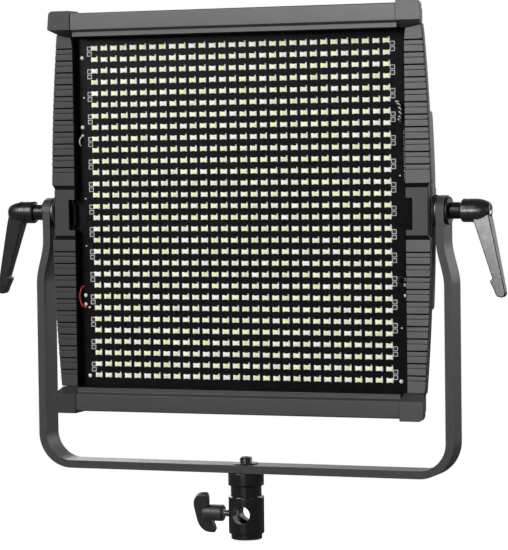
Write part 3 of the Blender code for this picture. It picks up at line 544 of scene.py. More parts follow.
def rail_profile(s):
    f = RAIL_FRONT
    pts = (
        [(COVER_BACK, RAIL_OUT)]
        + [(f + 1.2 - 1.2 * math.sin(a), RAIL_OUT - 1.2 + 1.2 * math.cos(a)) for a in [math.radians(d) for d in (0, 22, 45, 68, 90)]]
        + [(f, 161.3), (f + 0.2, 160.95), (f + 0.6, 160.7)]
        + [(f + 3.8, 159.35), (f + 4.1, 159.1), (f + 4.2, 158.7), (f + 4.2, RAIL_LIP)]
        + [
            (COVER_BACK, RAIL_LIP),
            (COVER_BACK, 157.0),
            (f + 6.0, 157.0),
            (f + 6.0, 160.3),
            (f + 2.0, 162.0),
            (f + 2.0, 173.7),
            (COVER_BACK, 173.7),
        ]
    )
    return [(y, z * s) for y, z in (pts if s > 0 else reversed(pts))]


for level, s in (("top", 1), ("bottom", -1)):
    r = flat("rail", rail_profile(s), RAIL_HALF, "YZ")
    bevel(r, 0.18, 2, 50)
    piece(r, level + "_rail_face", "panel", RAIL, [level + "_rail"], 30)
    # dark inner wall of the recess behind the lip
    wall = boxes(
        "wall",
        [(-149.7, 149.7, -22.6, -8.8, min(154.55 * s, 155.1 * s), max(154.55 * s, 155.1 * s))],
    )
    bevel(wall, 0.15, 1)
    piece(wall, level + "_recess_wall", "panel", INNER)


def cap_outline(x_low, x_high, z_low, rise=0.0):
    z_out = z_low + rise
    return (
        [(150.3, z_low), (153.0, z_low)]
        + [(x_low - 1.3, z_out), (x_low - 0.5, z_out + 0.25), (x_low - 0.1, z_out + 0.7), (x_low, z_out + 1.3)]
        + arc(x_high - 4.0, 177.8 - 4.0, 4.0, 0, 90, 12)
        + [(150.3, 177.8)]
    )


def skin(name, rings):
    bm = bmesh.new()
    loops = [[bm.verts.new((x * MM, y * MM, z * MM)) for x, z in pts] for y, pts in rings]
    n = len(loops[0])
    for p, q in zip(loops, loops[1:]):
        for i in range(n):
            bm.faces.new((p[i], p[(i + 1) % n], q[(i + 1) % n], q[i]))
    bm.faces.new(list(reversed(loops[0])))
    bm.faces.new(loops[-1])
    return from_bmesh(bm, name)


for side, sx in SIDES:
    for level, sz in (("top", 1), ("bottom", -1)):
        rings = []
        lift = 2.2 if level == "top" else 0.0
        for y, a, b, c, rise in ((-28.0, 172.0, 171.0, 161.0, 0.0), (-16.0, 168.4, 169.6, 155.2, lift), (COVER_BACK, 166.6, 167.6, 155.2, lift)):
            pts = [(x * sx, z * sz) for x, z in cap_outline(a, b, c, rise)]
            if sx * sz < 0:
                pts.reverse()
            rings.append((y, pts))
        cap = skin("cap", rings)
        bevel(cap, 1.2, 4, 33)
        name = "corner_cap_%s_%s" % (level, side)
        # the left caps get the darker copy of the plastic: painted shade
        piece(cap, name + "_shell", "panel", GREY if sx > 0 else GREY_PAINTED_SHADE, [name], 30)


def cover_half_width(z):
    if abs(z) <= 20.8:
        return 174.0
    return 176.4 - 6.6 * (z / 155.0) ** 2


def strip_outline(zs, inset0, inset1):
    """A strip following the bowed edge, between two insets from it."""
    outer = [(cover_half_width(z) - inset0, z) for z in zs]
    inner = [(cover_half_width(z) - inset1, z) for z in reversed(zs)]
    return outer + inner


RIB_UP, RIB_LOW, PITCH = 39.7, -35.1, 10.5
for side, sx in SIDES:
    turn = (lambda p: p) if sx > 0 else flip
    obs = []
    # band plate with the bowed edge, and a matt black plate in front of it that shows between the pads as painted shade
    # in the grooves
    zs = sorted([-150.5 + 301.0 * i / 56 for i in range(57) if abs(-150.5 + 301.0 * i / 56) > 26.0] + [-24.4, -20.8, 20.8, 24.4])

    def plate_outline(inset):
        end = cover_half_width(154.9) - inset
        return (
            [(153.7, -154.9), (end, -154.9)]
            + [(cover_half_width(z) - inset, z) for z in zs]
            + [(end - 0.6, 158.2 - inset * 0.3), (156.5, 155.9), (155.2, 154.9), (153.7, 154.9), (153.7, 11.0), (159.5, 11.0), (159.5, -16.0), (153.7, -16.0)]
        )

    base = flat("base", turn(plate_outline(0.0)), (-8.6 + 13.3) / 2, "XZ", shift=(-8.6 - 13.3) / 2)
    bevel(base, 0.35, 3, 40)
    obs.append(base)
    # painted shade: this black plate darkens every groove between the pads
    dark = flat("dark", turn(plate_outline(1.1)), 0.55, "XZ", shift=-13.55)
    piece(dark, "side_cover_%s_groove_floor" % side, "panel", INNER, (), 30)
    # ribs: a tall and a short pad between each pair of grooves
    pads = []
    tops = [RIB_UP + PITCH * k for k in range(11)]
    for g in tops:
        pads.append((g + 0.6, g + 5.85))
        pads.append((g + 6.25, g + PITCH - 0.6))
    pads[-2:] = [(tops[-1] + 0.6, 154.7)]
    pads += [(23.7, RIB_UP - 4.65), (RIB_UP - 4.25, RIB_UP - 0.6)]
    lows = [RIB_LOW - PITCH * k for k in range(11)]
    for g in lows:
        pads.append((g - 4.1, g - 0.6))
        pads.append((g - PITCH + 0.6, g - 4.5))
    pads[-1] = (-154.7, lows[-1] - 4.5)
    pads += [(RIB_LOW + 0.6, -24.5)]
    for z0, z1 in pads:
        if z1 - z0 < 1.2:
            continue
        w0, w1 = cover_half_width(z0) - 0.7, cover_half_width(z1) - 0.7
        if abs(z0) < 24.4:
            w0 = cover_half_width(24.4) - 0.7
        if abs(z1) < 24.4:
            w1 = cover_half_width(24.4) - 0.7
        c = 0.9
        pts = [
            (153.75, z0),
            (w0 - c, z0),
            (w0 - c * 0.3, z0 + c * 0.3),
            (w0, z0 + c),
            (w1, z1 - c),
            (w1 - c * 0.3, z1 - c * 0.3),
            (w1 - c, z1),
            (153.75, z1),
        ]
        if z1 > 154.0:
            pts[-4:] = [(168.9, 156.8), (168.6, 157.1), (168.0, 157.1), (155.0, 154.8)]
        pad = flat("pad", turn(pts), 0.7, "XZ", shift=-14.6)
        bevel(pad, 0.3, 2, 40)
        obs.append(pad)
    # smooth centre block with its slot and thumb notch
    blk = (
        [(153.75, -20.9)]
        + arc(173.4 - 1.5, -20.9 + 1.5, 1.5, -90, 0, 5)
        + arc(173.4 - 1.5, 20.1 - 1.5, 1.5, 0, 90, 5)
        + [(153.75, 20.1), (153.75, 11.0), (159.5, 11.0), (159.5, -16.0), (153.75, -16.0)]
    )
    block = flat("block", turn(blk), 0.9, "XZ", shift=-14.4)
    bevel(block, 0.45, 3, 40)
    # the block's darker plastic is painted shade
    piece(block, "side_cover_%s_block" % side, "panel", BLOCK_PAINTED_SHADE, (), 32)
    piece(merge("cover", obs), "side_cover_%s_ribs" % side, "panel", COVER, ["side_cover_" + side], 32)
    # dark liner on the side that faces the recess
    liner = boxes(
        "liner",
        [
            (153.05 * sx, 153.6 * sx, -15.25, -8.8, 11.2, 154.4),
            (153.05 * sx, 153.6 * sx, -15.25, -8.8, -154.4, -16.2),
            (158.9 * sx, 159.4 * sx, -15.25, -8.8, -15.9, 10.9),
            (153.3 * sx, 159.4 * sx, -15.25, -8.8, 10.45, 10.9),
            (153.3 * sx, 159.4 * sx, -15.25, -8.8, -15.9, -15.45),
        ],
    )
    bevel(liner, 0.15, 1)
    piece(liner, "recess_liner_" + side, "panel", INNER)
    # latch tongue seen in the slot
    tongue = flat(
        "tongue",
        turn(rounded_rect(154.4, 158.3, -12.5, 7.5, 1.2, 5)),
        1.2,
        "XZ",
        shift=-10.0,
    )
    bevel(tongue, 0.5, 3, 40)
    piece(tongue, "slot_latch_" + side, "panel", INNER)

# =============================== rear housing ====================================


def housing_outline():
    zs = [24.0 + (150.5 - 24.0) * i / 14 for i in range(15)]
    right = [(cover_half_width(z) - 1.5, z) for z in zs]
    upper = [(167.0, 158.0)] + arc(161.0, 169.2, 6.0, 0, 90, 9)
    q = right + upper
    out = q + [(-x, z) for x, z in reversed(q)]
    return out + [(-x, -z) for x, z in q] + [(x, -z) for x, z in reversed(q)]


def loft(name, rings, cutter=False):
    base = housing_outline()
    bm = bmesh.new()
    loops = []
    for y, sx, sz in rings:
        loops.append([bm.verts.new((x * sx * MM, y * MM, z * sz * MM)) for x, z in base])
    n = len(base)
    for a, b in zip(loops, loops[1:]):
        for i in range(n):
            bm.faces.new((a[i], a[(i + 1) % n], b[(i + 1) % n], b[i]))
    bm.faces.new(list(reversed(loops[0])))
    bm.faces.new(loops[-1])
    return from_bmesh(bm, name, cutter=cutter)


back_rings = [(-8.3, 1.0, 1.0), (-4.6, 1.0, 1.0), (-3.9, 0.9975, 0.9985)]
back_rings += [(15.6, 0.889, 0.9375)]
for i in range(1, 7):
    a = math.radians(90.0 * i / 6)
    back_rings.append((15.6 + 4.4 * math.sin(a), 0.889 - 0.027 * (1 - math.cos(a)), 0.9375 - 0.0255 * (1 - math.cos(a))))
housing = loft("housing", back_rings)
zs = [-85.0 + 8.5 * i for i in range(21)]
side_pts = [(175.2 - 2.3 * (z / 85.0) ** 2, z) for z in zs]
shoulder = flat("shoulder", side_pts + [(-x, z) for x, z in reversed(side_pts)], 6.6, "XZ", shift=-1.6, cutter=True)
bevel(shoulder, 3.0, 4, 40)
combine(housing, shoulder, "UNION")
combine(
    housing,
    loft("cavity", [(-12.0, 0.966, 0.982), (-4.4, 0.966, 0.982), (17.4, 0.855, 0.908)], cutter=True),
    "DIFFERENCE",
)
for side, sx in SIDES:
    boss = boxes("boss", [(158.4 * sx, 175.3 * sx, -8.25, 5.0, -20.5, 20.5)], cutter=True)
    bevel(boss, 2.0, 4, 40)
    combine(housing, boss, "UNION")
    open_at = math.degrees(math.acos(-8.2 / 13.0))
    drum = flat("drum", arc(0.0, 0.0, 13.0, -open_at, open_at, 48), 8.5, "YZ", shift=166.7 * sx, cutter=True)
    combine(housing, drum, "UNION")
combine(
    housing,
    rods("bush_holes", "X", [(8.4, 8.4, 150, 180, 0, 0, 0), (8.4, 8.4, -180, -150, 0, 0, 0)], segs=48, cutter=True),
    "DIFFERENCE",
)
PANEL_ZP = -118.0
DIMMER, COLOUR = (-38.0, PANEL_ZP - 2.0), (38.0, PANEL_ZP - 2.0)
MODE, MENU = (-9.0, PANEL_ZP - 13.0), (9.0, PANEL_ZP - 13.0)
ROCKER, INLET = (88.0, PANEL_ZP), (-88.0, PANEL_ZP)
SCREW_AT = [(sx * 136.0, sz * 150.0) for sx in (-1, 1) for sz in (-1, 1)]
vents = []
for k in range(7):
    z0 = 84.0 + 9.0 * k
    for x0, x1 in ((-118.0, -6.0), (6.0, 118.0)):
        vents.append((x0, x1, z0, z0 + 4.2))
bm = bmesh.new()
for x0, x1, z0, z1 in vents:
    pts = rounded_rect(x0, x1, z0, z1, 1.9, 5)
    a = [bm.verts.new((x * MM, 15.0 * MM, z * MM)) for x, z in pts]
    b = [bm.verts.new((x * MM, 24.0 * MM, z * MM)) for x, z in pts]
    for i in range(len(pts)):
        j = (i + 1) % len(pts)
        bm.faces.new((a[i], a[j], b[j], b[i]))
    bm.faces.new(a)
    bm.faces.new(list(reversed(b)))
combine(housing, from_bmesh(bm, "vent_cut", cutter=True), "DIFFERENCE")
holes = [(3.6, 3.6, 10, 24, x, 0, z) for x, z in (DIMMER, COLOUR)]
holes += [(4.6, 4.6, 10, 24, x, 0, z) for x, z in (MODE, MENU)]
holes += [(10.2, 10.2, 10, 24, INLET[0], 0, INLET[1])]
holes += [(1.9, 1.9, 13, 25, x, 0, z) for x, z in SCREW_AT]
combine(housing, rods("wall_holes", "Y", holes, segs=40, cutter=True), "DIFFERENCE")
combine(
    housing,
    boxes("rocker_hole", [(81.0, 95.0, 12.0, 24.0, PANEL_ZP - 10.5, PANEL_ZP + 10.5)], cutter=True),
    "DIFFERENCE",
)
piece(housing, "rear_housing_shell", "panel", GREY, ["rear_housing"], 32)

# housing screws: pan head with a cross recess
def cross_cutter(w, r, y0, y1, at):
    pts = [(w, -r), (w, -w), (r, -w), (r, w), (w, w), (w, r), (-w, r), (-w, w), (-r, w), (-r, -w), (-w, -w), (-w, -r)]
    return flat("cross", pts, (y1 - y0) / 2, "XZ", at, shift=(y0 + y1) / 2, cutter=True)


for x, z in SCREW_AT:
    name = "housing_screw_%s_%s" % ("bottom" if z < 0 else "top", "left" if x < 0 else "right")
    s = turned(
        "screw",
        "Y",
        [(0, 22.2)] + [(3.4 * math.sin(a), 20.5 + 1.7 * math.cos(a)) for a in [math.radians(d) for d in (15, 30, 45, 60, 75, 90)]] + [(3.4, 20.3), (1.5, 20.3), (1.5, 12.4), (0, 12.4)],
        (x, 0, z),
        32,
    )
    combine(s, cross_cutter(0.35, 1.9, 21.1, 24.0, (x, 0, z)), "DIFFERENCE")
    piece(s, name + "_head", "panel", OXIDE, [name], 40)

# =============================== LED board ======================================
ROWS = COLS = 30
PITCH_X, PITCH_Z = 9.367, 10.0
FACE_Y = -7.6

board = boxes("board", [(-157, 157, -7.6, -6.0, -159, 159)])
combine(
    board,
    rods("board_holes", "Y", [(1.2, 1.2, -12, 0, x, 0, z) for x, z in ((-147.6, 136.8), (-148.0, 75.4), (-144.4, -145.7), (146.2, -145.6))], segs=24, cutter=True),
    "DIFFERENCE",
)
bevel(board, 0.15, 1, 40)
piece(board, "led_board_mask", "panel", BOARD, ["led_board"], 30)

RNG = np.random.default_rng(20)


def stamped(name, template, centres, flip_mask=None):
    """Repeat a small template mesh (verts in mm, faces) at many centres."""
    tv, tf = template
    tv = np.array(tv, float)
    c = np.array(centres, float)
    n, k = len(c), len(tv)
    v = (tv[None, :, :] + c[:, None, :]).reshape(-1, 3)
    v[:, 2] += PIVOT_Z
    v *= MM
    faces = []
    for i in range(n):
        o = i * k
        faces.extend([tuple(o + q for q in f) for f in tf])
    me = bpy.data.meshes.new(name)
    me.from_pydata(v.tolist(), [], faces)
    me.update()
    ob = bpy.data.objects.new(name, me)
    SHOP.objects.link(ob)
    return ob, len(tf)


def lump(rings, n_corner=2, radius=0.3, offset=(0.0, 0.0), closed_back=True):
    """A rounded rectangular lump: rings of (half_x, half_z, y), first ring on the board."""
    verts, faces = [], []
    loops = []
    for hx, hz, y in rings:
        r = min(radius, hx * 0.9, hz * 0.9)
        pts = rounded_rect(-hx, hx, -hz, hz, r, n_corner)
        base = len(verts)
        verts += [(x + offset[0], y, z + offset[1]) for x, z in pts]
        loops.append(list(range(base, base + len(pts))))
    for a, b in zip(loops, loops[1:]):
        m = len(a)
        for i in range(m):
            j = (i + 1) % m
            faces.append((a[i], a[j], b[j], b[i]))
    faces.append(tuple(loops[-1]))
    if closed_back:
        faces.append(tuple(reversed(loops[0])))
    return verts, faces


def join_templates(parts):
    verts, faces = [], []
    for v, f in parts:
        o = len(verts)
        verts += v
        faces += [tuple(o + q for q in g) for g in f]
    return verts, faces


LED_AT, LED_RC = [], []
for r in range(ROWS):
    for c in range(COLS):
        LED_AT.append((PITCH_X * (c - (COLS - 1) / 2), 0.0, PITCH_Z * ((ROWS - 1) / 2 - r)))
        LED_RC.append((r, c))
JIT = RNG.normal(0, 0.07, (len(LED_AT), 2))
LED_AT = [(x + float(j[0]), y, z + float(j[1])) for (x, y, z), j in zip(LED_AT, JIT)]

body_t = lump([(2.5, 1.75, FACE_Y + 0.02), (2.5, 1.75, -8.25), (2.35, 1.6, -8.42)], 2, 0.25)
ob, _ = stamped("bodies", body_t, LED_AT)
piece(ob, "led_packages", "panel", LED_BODY, ["led_array"], 30, weighted=False)

face_t = lump([(1.9, 1.35, -8.30), (1.9, 1.35, -8.46), (1.6, 1.05, -8.53)], 3, 0.55)
ob, per = stamped("faces", face_t, LED_AT)
piece_faces = piece(ob, "led_windows", "panel", LED_FACE, (), 30, weighted=False)
tints = []
for i, (r, c) in enumerate(LED_RC):
    warm = (r + c) % 2
    base = np.array((0.96, 0.97, 0.82)) if warm else np.array((1.0, 1.0, 1.25))
    base = base * (1.0 + float(RNG.normal(0, 0.07)))
    base[2] *= 1.0 + float(RNG.normal(0, 0.24))
    tints.append(np.clip(base, 0.5, 1.7))
att = piece_faces.data.color_attributes.new("tint", "FLOAT_COLOR", "CORNER")
col = np.ones((len(piece_faces.data.loops), 4), np.float32)
ls = np.zeros(len(piece_faces.data.polygons), np.int32)
lt = np.zeros(len(piece_faces.data.polygons), np.int32)
piece_faces.data.polygons.foreach_get("loop_start", ls)
piece_faces.data.polygons.foreach_get("loop_total", lt)
for p in range(len(ls)):
    col[ls[p] : ls[p] + lt[p], :3] = tints[p // per]
att.data.foreach_set("color", col.ravel())

pad_t = join_templates(
    [
        lump([(0.85, 2.15, FACE_Y + 0.02), (0.85, 2.15, -7.9), (0.7, 2.0, -8.0)], 2, 0.3, (-2.3, 0.0)),
        lump([(0.85, 2.15, FACE_Y + 0.02), (0.85, 2.15, -7.9), (0.7, 2.0, -8.0)], 2, 0.3, (2.3, 0.0)),
    ]
)
ob, _ = stamped("pads", pad_t, LED_AT)
piece(ob, "led_pads", "panel", SOLDER, (), 30, weighted=False)
tick_t = lump([(0.5, 0.55, FACE_Y + 0.02), (0.5, 0.55, -7.70), (0.45, 0.5, -7.72)], 1, 0.2, (2.35, 2.75))
ob, _ = stamped("ticks", tick_t, [p for p, (r, c) in zip(LED_AT, LED_RC) if (r + c) % 2 == 1])
piece(ob, "polarity_marks", "panel", SILK, (), 30, weighted=False)

# faint raised tracks joining the LEDs of a row
track_boxes = []
for r in range(ROWS):
    z = PITCH_Z * ((ROWS - 1) / 2 - r)
    for c in range(COLS - 1):
        x = PITCH_X * (c - (COLS - 1) / 2)
        track_boxes.append((x + 3.3, x + PITCH_X - 3.3, -7.66, -7.58, z - 0.9, z - 0.2))
track = boxes("tracks", track_boxes)
piece(track, "led_tracks", "panel", TRACE, (), 30, weighted=False)

# pairs of link pads, outlined, beside the first and last columns
ring_at = [(-140.6, 0.0, 142.3 - 20.0 * k) for k in range(15)]
ring_at += [(141.0, 0.0, 140.0 - 20.0 * k) for k in range(15)]


def bar_t(x0, x1, z0, z1, y=-7.70):
    return lump(
        [((x1 - x0) / 2, (z1 - z0) / 2, FACE_Y + 0.02), ((x1 - x0) / 2, (z1 - z0) / 2, y)],
        1,
        0.1,
        ((x0 + x1) / 2, (z0 + z1) / 2),
    )


def ring_t(dz):
    return [
        bar_t(-2.2, 2.2, dz + 1.35, dz + 1.95),
        bar_t(-2.2, 2.2, dz - 1.95, dz - 1.35),
        bar_t(-2.2, -1.55, dz - 1.34, dz + 1.34),
        bar_t(1.55, 2.2, dz - 1.34, dz + 1.34),
    ]


ob, _ = stamped("frames", join_templates(ring_t(2.35) + ring_t(-2.35)), ring_at)
piece(ob, "link_pad_outlines", "panel", PRINT, (), 30, weighted=False)
link_t = join_templates([lump([(0.75, 0.6, FACE_Y + 0.02), (0.75, 0.6, -7.95), (0.6, 0.45, -8.05)], 2, 0.2, (0.0, dz)) for dz in (2.35, -2.35)])
ob, _ = stamped("links", link_t, ring_at)
piece(ob, "link_pads", "panel", BLACK, (), 30, weighted=False)

# =============================== board screws, joints of solder, wires ==========
for label, x, z in (
    ("top_left", -147.6, 136.8),
    ("mid_left", -148.0, 75.4),
    ("bottom_left", -144.4, -145.7),
    ("bottom_right", 146.2, -145.6),
):
    s = turned(
        "bs",
        "-Y",
        [(0, 9.1)] + [(1.8 * math.sin(a), 7.95 + 1.15 * math.cos(a)) for a in [math.radians(d) for d in (20, 40, 60, 80, 90)]] + [(1.8, 7.9), (0.9, 7.9), (0.9, 2.2), (0, 2.2)],
        (x, 0, z),
        28,
    )
    piece(s, "board_screw_%s_head" % label, "panel", SOLDER, ["board_screw_" + label], 40)


def blob(bm, x, z, r, h=0.7):
    m = Matrix.Translation(Vector((x, FACE_Y + 0.05, z)) * MM) @ Matrix.Diagonal(Vector((r * MM, h * MM, r * MM, 1.0)))
    bmesh.ops.create_uvsphere(bm, u_segments=20, v_segments=12, radius=1.0, matrix=m)


bm = bmesh.new()
for x, z, r in (
    (-147.8, -74.0, 1.7),
    (-147.8, -82.0, 1.6),
    (-144.1, -84.8, 1.0),
    (-146.4, 101.5, 0.9),
    (150.1, -58.4, 1.2),
    (150.0, -63.2, 1.3),
    (150.3, -72.2, 1.3),
    (145.6, 92.4, 1.2),
    (147.2, 76.6, 1.2),
    (-148.2, 68.0, 1.2),
    (146.8, 30.0, 0.8),
    (-146.2, 12.0, 0.8),
    (-146.2, -30.0, 0.8),
    (147.0, -100.0, 0.8),
):
    blob(bm, x, z, r)
piece(from_bmesh(bm, "blobs"), "solder_joints", "panel", SOLDER, (), 60, weighted=False)

red = curve_mesh(
    "red",
    smooth_path(
        [
            (-146.4, -8.8, -84.6),
            (-148.2, -9.9, -84.2),
            (-150.6, -10.8, -81.4),
            (-151.9, -11.0, -77.0),
            (-151.9, -11.0, -72.4),
            (-151.0, -10.4, -68.6),
            (-149.6, -9.4, -66.4),
            (-148.4, -8.8, -65.8),
        ]
    ),
    0.8,
)
piece(red, "wire_red_lead", "panel", RED, ["wire_red"], 60)
BLACK_PATH = [
    (145.4, -8.8, 92.8),
    (147.2, -10.1, 91.2),
    (148.6, -10.8, 88.0),
    (149.1, -11.0, 84.6),
    (148.9, -10.9, 81.0),
    (148.2, -10.1, 78.0),
    (147.0, -8.8, 76.4),
]
piece(curve_mesh("blk", smooth_path(BLACK_PATH), 0.8), "wire_black_lead", "panel", BLACKW, ["wire_black"], 60)
# a white lead twisted round the black one
run = smooth_path(BLACK_PATH, 8)
white = []
for i, p in enumerate(run):
    a = i * 0.74
    white.append((p[0] - 0.6 - 1.0 * math.cos(a), min(-8.6, p[1] - 1.1 * math.sin(a)), p[2] + 0.8 * math.sin(a)))
piece(curve_mesh("wht", white, 0.55), "wire_white_lead", "panel", WHITEW, (), 60)
piece(
    curve_mesh("w2", smooth_path([(-148.2, -8.4, 67.6), (-149.6, -9.8, 65.6), (-150.2, -10.2, 63.0), (-150.2, -9.6, 60.6), (-149.8, -8.4, 59.0)]), 0.6),
    "wire_white_left",
    "panel",
    WHITEW,
    (),
    60,
)
piece(
    curve_mesh("w3", smooth_path([(150.2, -8.3, -58.8), (147.6, -9.9, -56.0), (145.2, -10.2, -57.8), (145.6, -9.6, -62.0), (149.6, -8.4, -63.2)]), 0.6),
    "wire_black_right",
    "panel",
    BLACKW,
    (),
    60,
)
# dashed like a row of contacts, and bright as a painted highlight standing in for the glint off the heat spreader's
# edge
strip = boxes("strip", [(150.5, 151.5, -7.9, -7.58, 26.0 + 2.3 * k, 26.9 + 2.3 * k + 0.6 * (k % 2)) for k in range(19)])
bevel(strip, 0.1, 2)
piece(strip, "edge_contact_strip", "panel", SOLDER, (), 30)

# =============================== controls on the back ============================
plate = flat("plate", rounded_rect(-112.0, 112.0, PANEL_ZP - 23.0, PANEL_ZP + 23.0, 4.0), 0.8, "XZ", shift=21.1)
holes = [(3.6, 3.6, 18, 25, x, 0, z) for x, z in (DIMMER, COLOUR)]
holes += [(4.6, 4.6, 18, 25, x, 0, z) for x, z in (MODE, MENU)]
holes += [(10.2, 10.2, 18, 25, INLET[0], 0, INLET[1])]
combine(plate, rods("ph", "Y", holes, segs=40, cutter=True), "DIFFERENCE")
combine(
    plate,
    boxes("pw", [(-23.3, 23.3, 18, 25, PANEL_ZP + 1.7, PANEL_ZP + 19.3), (81, 95, 18, 25, PANEL_ZP - 10.5, PANEL_ZP + 10.5)], cutter=True),
    "DIFFERENCE",
)
bevel(plate, 0.3, 2, 50)
piece(plate, "control_plate_face", "panel", BLACK, ["control_plate"], 35)
window = boxes("window", [(-23, 23, 20.3, 21.7, PANEL_ZP + 2.0, PANEL_ZP + 19.0)])
bevel(window, 0.35, 3)
piece(window, "display_window_glass", "panel", GLASS, ["display_window"], 35)
# plain bar segments on the display and level ticks round the knobs
segs = []
for k in range(12):
    segs.append((-19.0 + 3.2 * k, -17.2 + 3.2 * k, 21.66, 21.74, PANEL_ZP + 4.2, PANEL_ZP + 5.4 + 0.8 * k))
piece(boxes("segs", segs), "display_bars", "panel", LCD, (), 30, weighted=False)
bm = bmesh.new()
for x, z in (DIMMER, COLOUR):
    for k in range(11):
        a = math.radians(-150 + 30 * k)
        m = (
            Matrix.Translation(Vector((x + 11.6 * math.sin(a), 21.93, z + 11.6 * math.cos(a))) * MM)
            @ Matrix.Rotation(a, 4, "Y")
            @ Matrix.Diagonal(Vector((0.5 * MM, 0.1 * MM, 1.8 * MM, 1.0)))
        )
        bmesh.ops.create_cube(bm, size=1.0, matrix=m)
for x, z in (MODE, MENU):
    for s in (-1, 1):
        m = Matrix.Translation(Vector((x + s * 1.6, 21.93, z - 6.6)) * MM) @ Matrix.Diagonal(Vector((1.6 * MM, 0.1 * MM, 0.5 * MM, 1.0)))
        bmesh.ops.create_cube(bm, size=1.0, matrix=m)
piece(from_bmesh(bm, "ticks"), "control_ticks", "panel", SILK, (), 30, weighted=False)

for label, (x, z), body in (("dimmer_knob", DIMMER, "dimmer"), ("colour_knob", COLOUR, "colour")):
    prof = [(0, 27.0), (6.6, 27.0), (7.3, 27.3), (8.0, 27.95), (8.6, 27.9), (9.0, 27.3), (9.4, 22.9), (9.1, 22.3), (3.0, 22.3), (3.0, 12.4), (0, 12.4)]
    k = turned("knob", "Y", prof, (x, 0, z), 96)
    grooves = rods("kg", "Y", [(0.55, 0.55, 22.9, 27.6, 9.6 * math.cos(a), 0, 9.6 * math.sin(a)) for a in [2 * math.pi * i / 24 for i in range(24)]], (x, 0, z), 12, True)
    combine(k, grooves, "DIFFERENCE")
    combine(k, boxes("kp", [(-0.6, 0.6, 26.4, 29.0, 2.0, 10.5)], (x, 0, z), True), "DIFFERENCE")
    piece(k, label + "_cap", body, KNOB, [label], 35)
    pointer = boxes("kl", [(-0.45, 0.45, 26.3, 26.9, 2.3, 7.6)], (x, 0, z))
    bevel(pointer, 0.12, 2, 40)
    piece(pointer, label + "_pointer", body, SILK, (), 30, weighted=False)
for label, (x, z), body in (("mode_button", MODE, "mode"), ("menu_button", MENU, "menu")):
    prof = round_profile([(0, 24.0), (3.9, 24.0), (4.1, 22.6), (4.1, 14.2), (0, 14.2)], 0.7, 4)
    piece(turned("btn", "Y", prof, (x, 0, z), 48), label + "_cap", body, GREY, [label], 35)

rocker_pts = (
    [(13.6, -3.0), (16.4, -9.0), (22.6, -9.4), (23.4, -9.2)]
    + [(22.1 + 1.3 * (t / 9.2) ** 2, t) for t in (-7.4, -5.6, -3.8, -1.9, 0.0, 1.9, 3.8, 5.6, 7.4)]
    + [(23.4, 9.2), (22.6, 9.4), (16.4, 9.0), (13.6, 3.0)]
)
tilt = math.radians(-7.0)
rocker_pts = [((y - 16.5) * math.cos(tilt) - z * math.sin(tilt), (y - 16.5) * math.sin(tilt) + z * math.cos(tilt)) for y, z in rocker_pts]
rk = flat("rk", rocker_pts, 6.4, "YZ", (ROCKER[0], 16.5, ROCKER[1]))
bevel(rk, 0.5, 3, 25)
piece(rk, "power_rocker_cap", "rocker", BLACK, ["power_rocker"], 35)
prof = [(0, 13.0), (8.2, 13.0), (8.2, 23.6), (8.6, 24.1), (9.2, 24.2), (11.8, 24.2), (12.3, 23.8), (12.4, 23.2), (12.4, 22.2), (9.6, 22.2), (9.6, 10.0), (0, 10.0)]
inlet = turned("inlet", "Y", prof, (INLET[0], 0, INLET[1]), 64)
piece(inlet, "dc_inlet_shell", "panel", OXIDE, ["dc_inlet"], 35)
pins = rods("pins", "Y", [(1.2, 0.8, 12.9, 21.4, 4.2 * math.cos(a), 0, 4.2 * math.sin(a)) for a in [math.radians(45 + 90 * k) for k in range(4)]], (INLET[0], 0, INLET[1]), 24)
bevel(pins, 0.2, 2, 50)
piece(pins, "dc_inlet_pins", "panel", GOLD, (), 35)

# battery plate
bat = flat("bat", rounded_rect(-52.0, 52.0, -62.0, 62.0, 6.0, 12), (28.0 - 20.3) / 2, "XZ", shift=24.15)
bevel(bat, 1.0, 4, 40)
combine(bat, flat("wedge", [(-15.0, -30.0), (15.0, -30.0), (24.0, 70.0), (-24.0, 70.0)], 4.0, "XZ", shift=27.2, cutter=True), "DIFFERENCE")
combine(bat, boxes("bc", [(-17.3, 17.3, 22, 30, -55.3, -42.7), (33.7, 46.3, 22, 30, -32.3, 8.3)], cutter=True), "DIFFERENCE")
combine(
    bat,
    boxes("bg", [(-46.0, -27.5, 27.5, 30, -50.0 + 8 * k, -48.8 + 8 * k) for k in range(12)], cutter=True),
    "DIFFERENCE",
)
piece(bat, "battery_plate_face", "panel", BLACK, ["battery_plate"], 32)
cb = boxes("cb", [(-17, 17, 22.3, 26.4, -55, -43)])
bevel(cb, 0.6, 3)
combine(cb, boxes("cbs", [(-12.0 + 8 * k - 1.5, -12.0 + 8 * k + 1.5, 24, 30, -52.5, -45.5) for k in range(4)], cutter=True), "DIFFERENCE")
piece(cb, "contact_block_body", "panel", BLACK, ["contact_block"], 35)
blades = boxes("blades", [(-12.0 + 8 * k - 0.5, -12.0 + 8 * k + 0.5, 23.9, 26.1, -52.0, -46.0) for k in range(4)])
bevel(blades, 0.2, 2)
piece(blades, "contact_blades", "panel", GOLD, (), 35)
rel = boxes("rel", [(34, 46, 22.3, 27.4, -32, 2)])
bevel(rel, 0.8, 4)
combine(rel, boxes("relg", [(32, 48, 26.8, 30, -27 + 5 * k, -25.2 + 5 * k) for k in range(5)], cutter=True), "DIFFERENCE")
piece(rel, "battery_release_thumb", "release", GREY, ["battery_release"], 35)
# four screws that hold the battery plate
plate_screws = [(x, z) for x in (-45.0, 45.0) for z in (-55.0, 55.0)]
bs = rods("bps", "Y", [(2.6, 2.4, 27.0, 28.0, x, 0, z) for x, z in plate_screws], segs=32)
bevel(bs, 0.25, 2, 50)
combine(bs, rods("bpx", "Y", [(1.2, 1.2, 27.3, 29, x, 0, z) for x, z in plate_screws], segs=6, cutter=True), "DIFFERENCE")
piece(bs, "battery_plate_screws", "panel", OXIDE, (), 40)

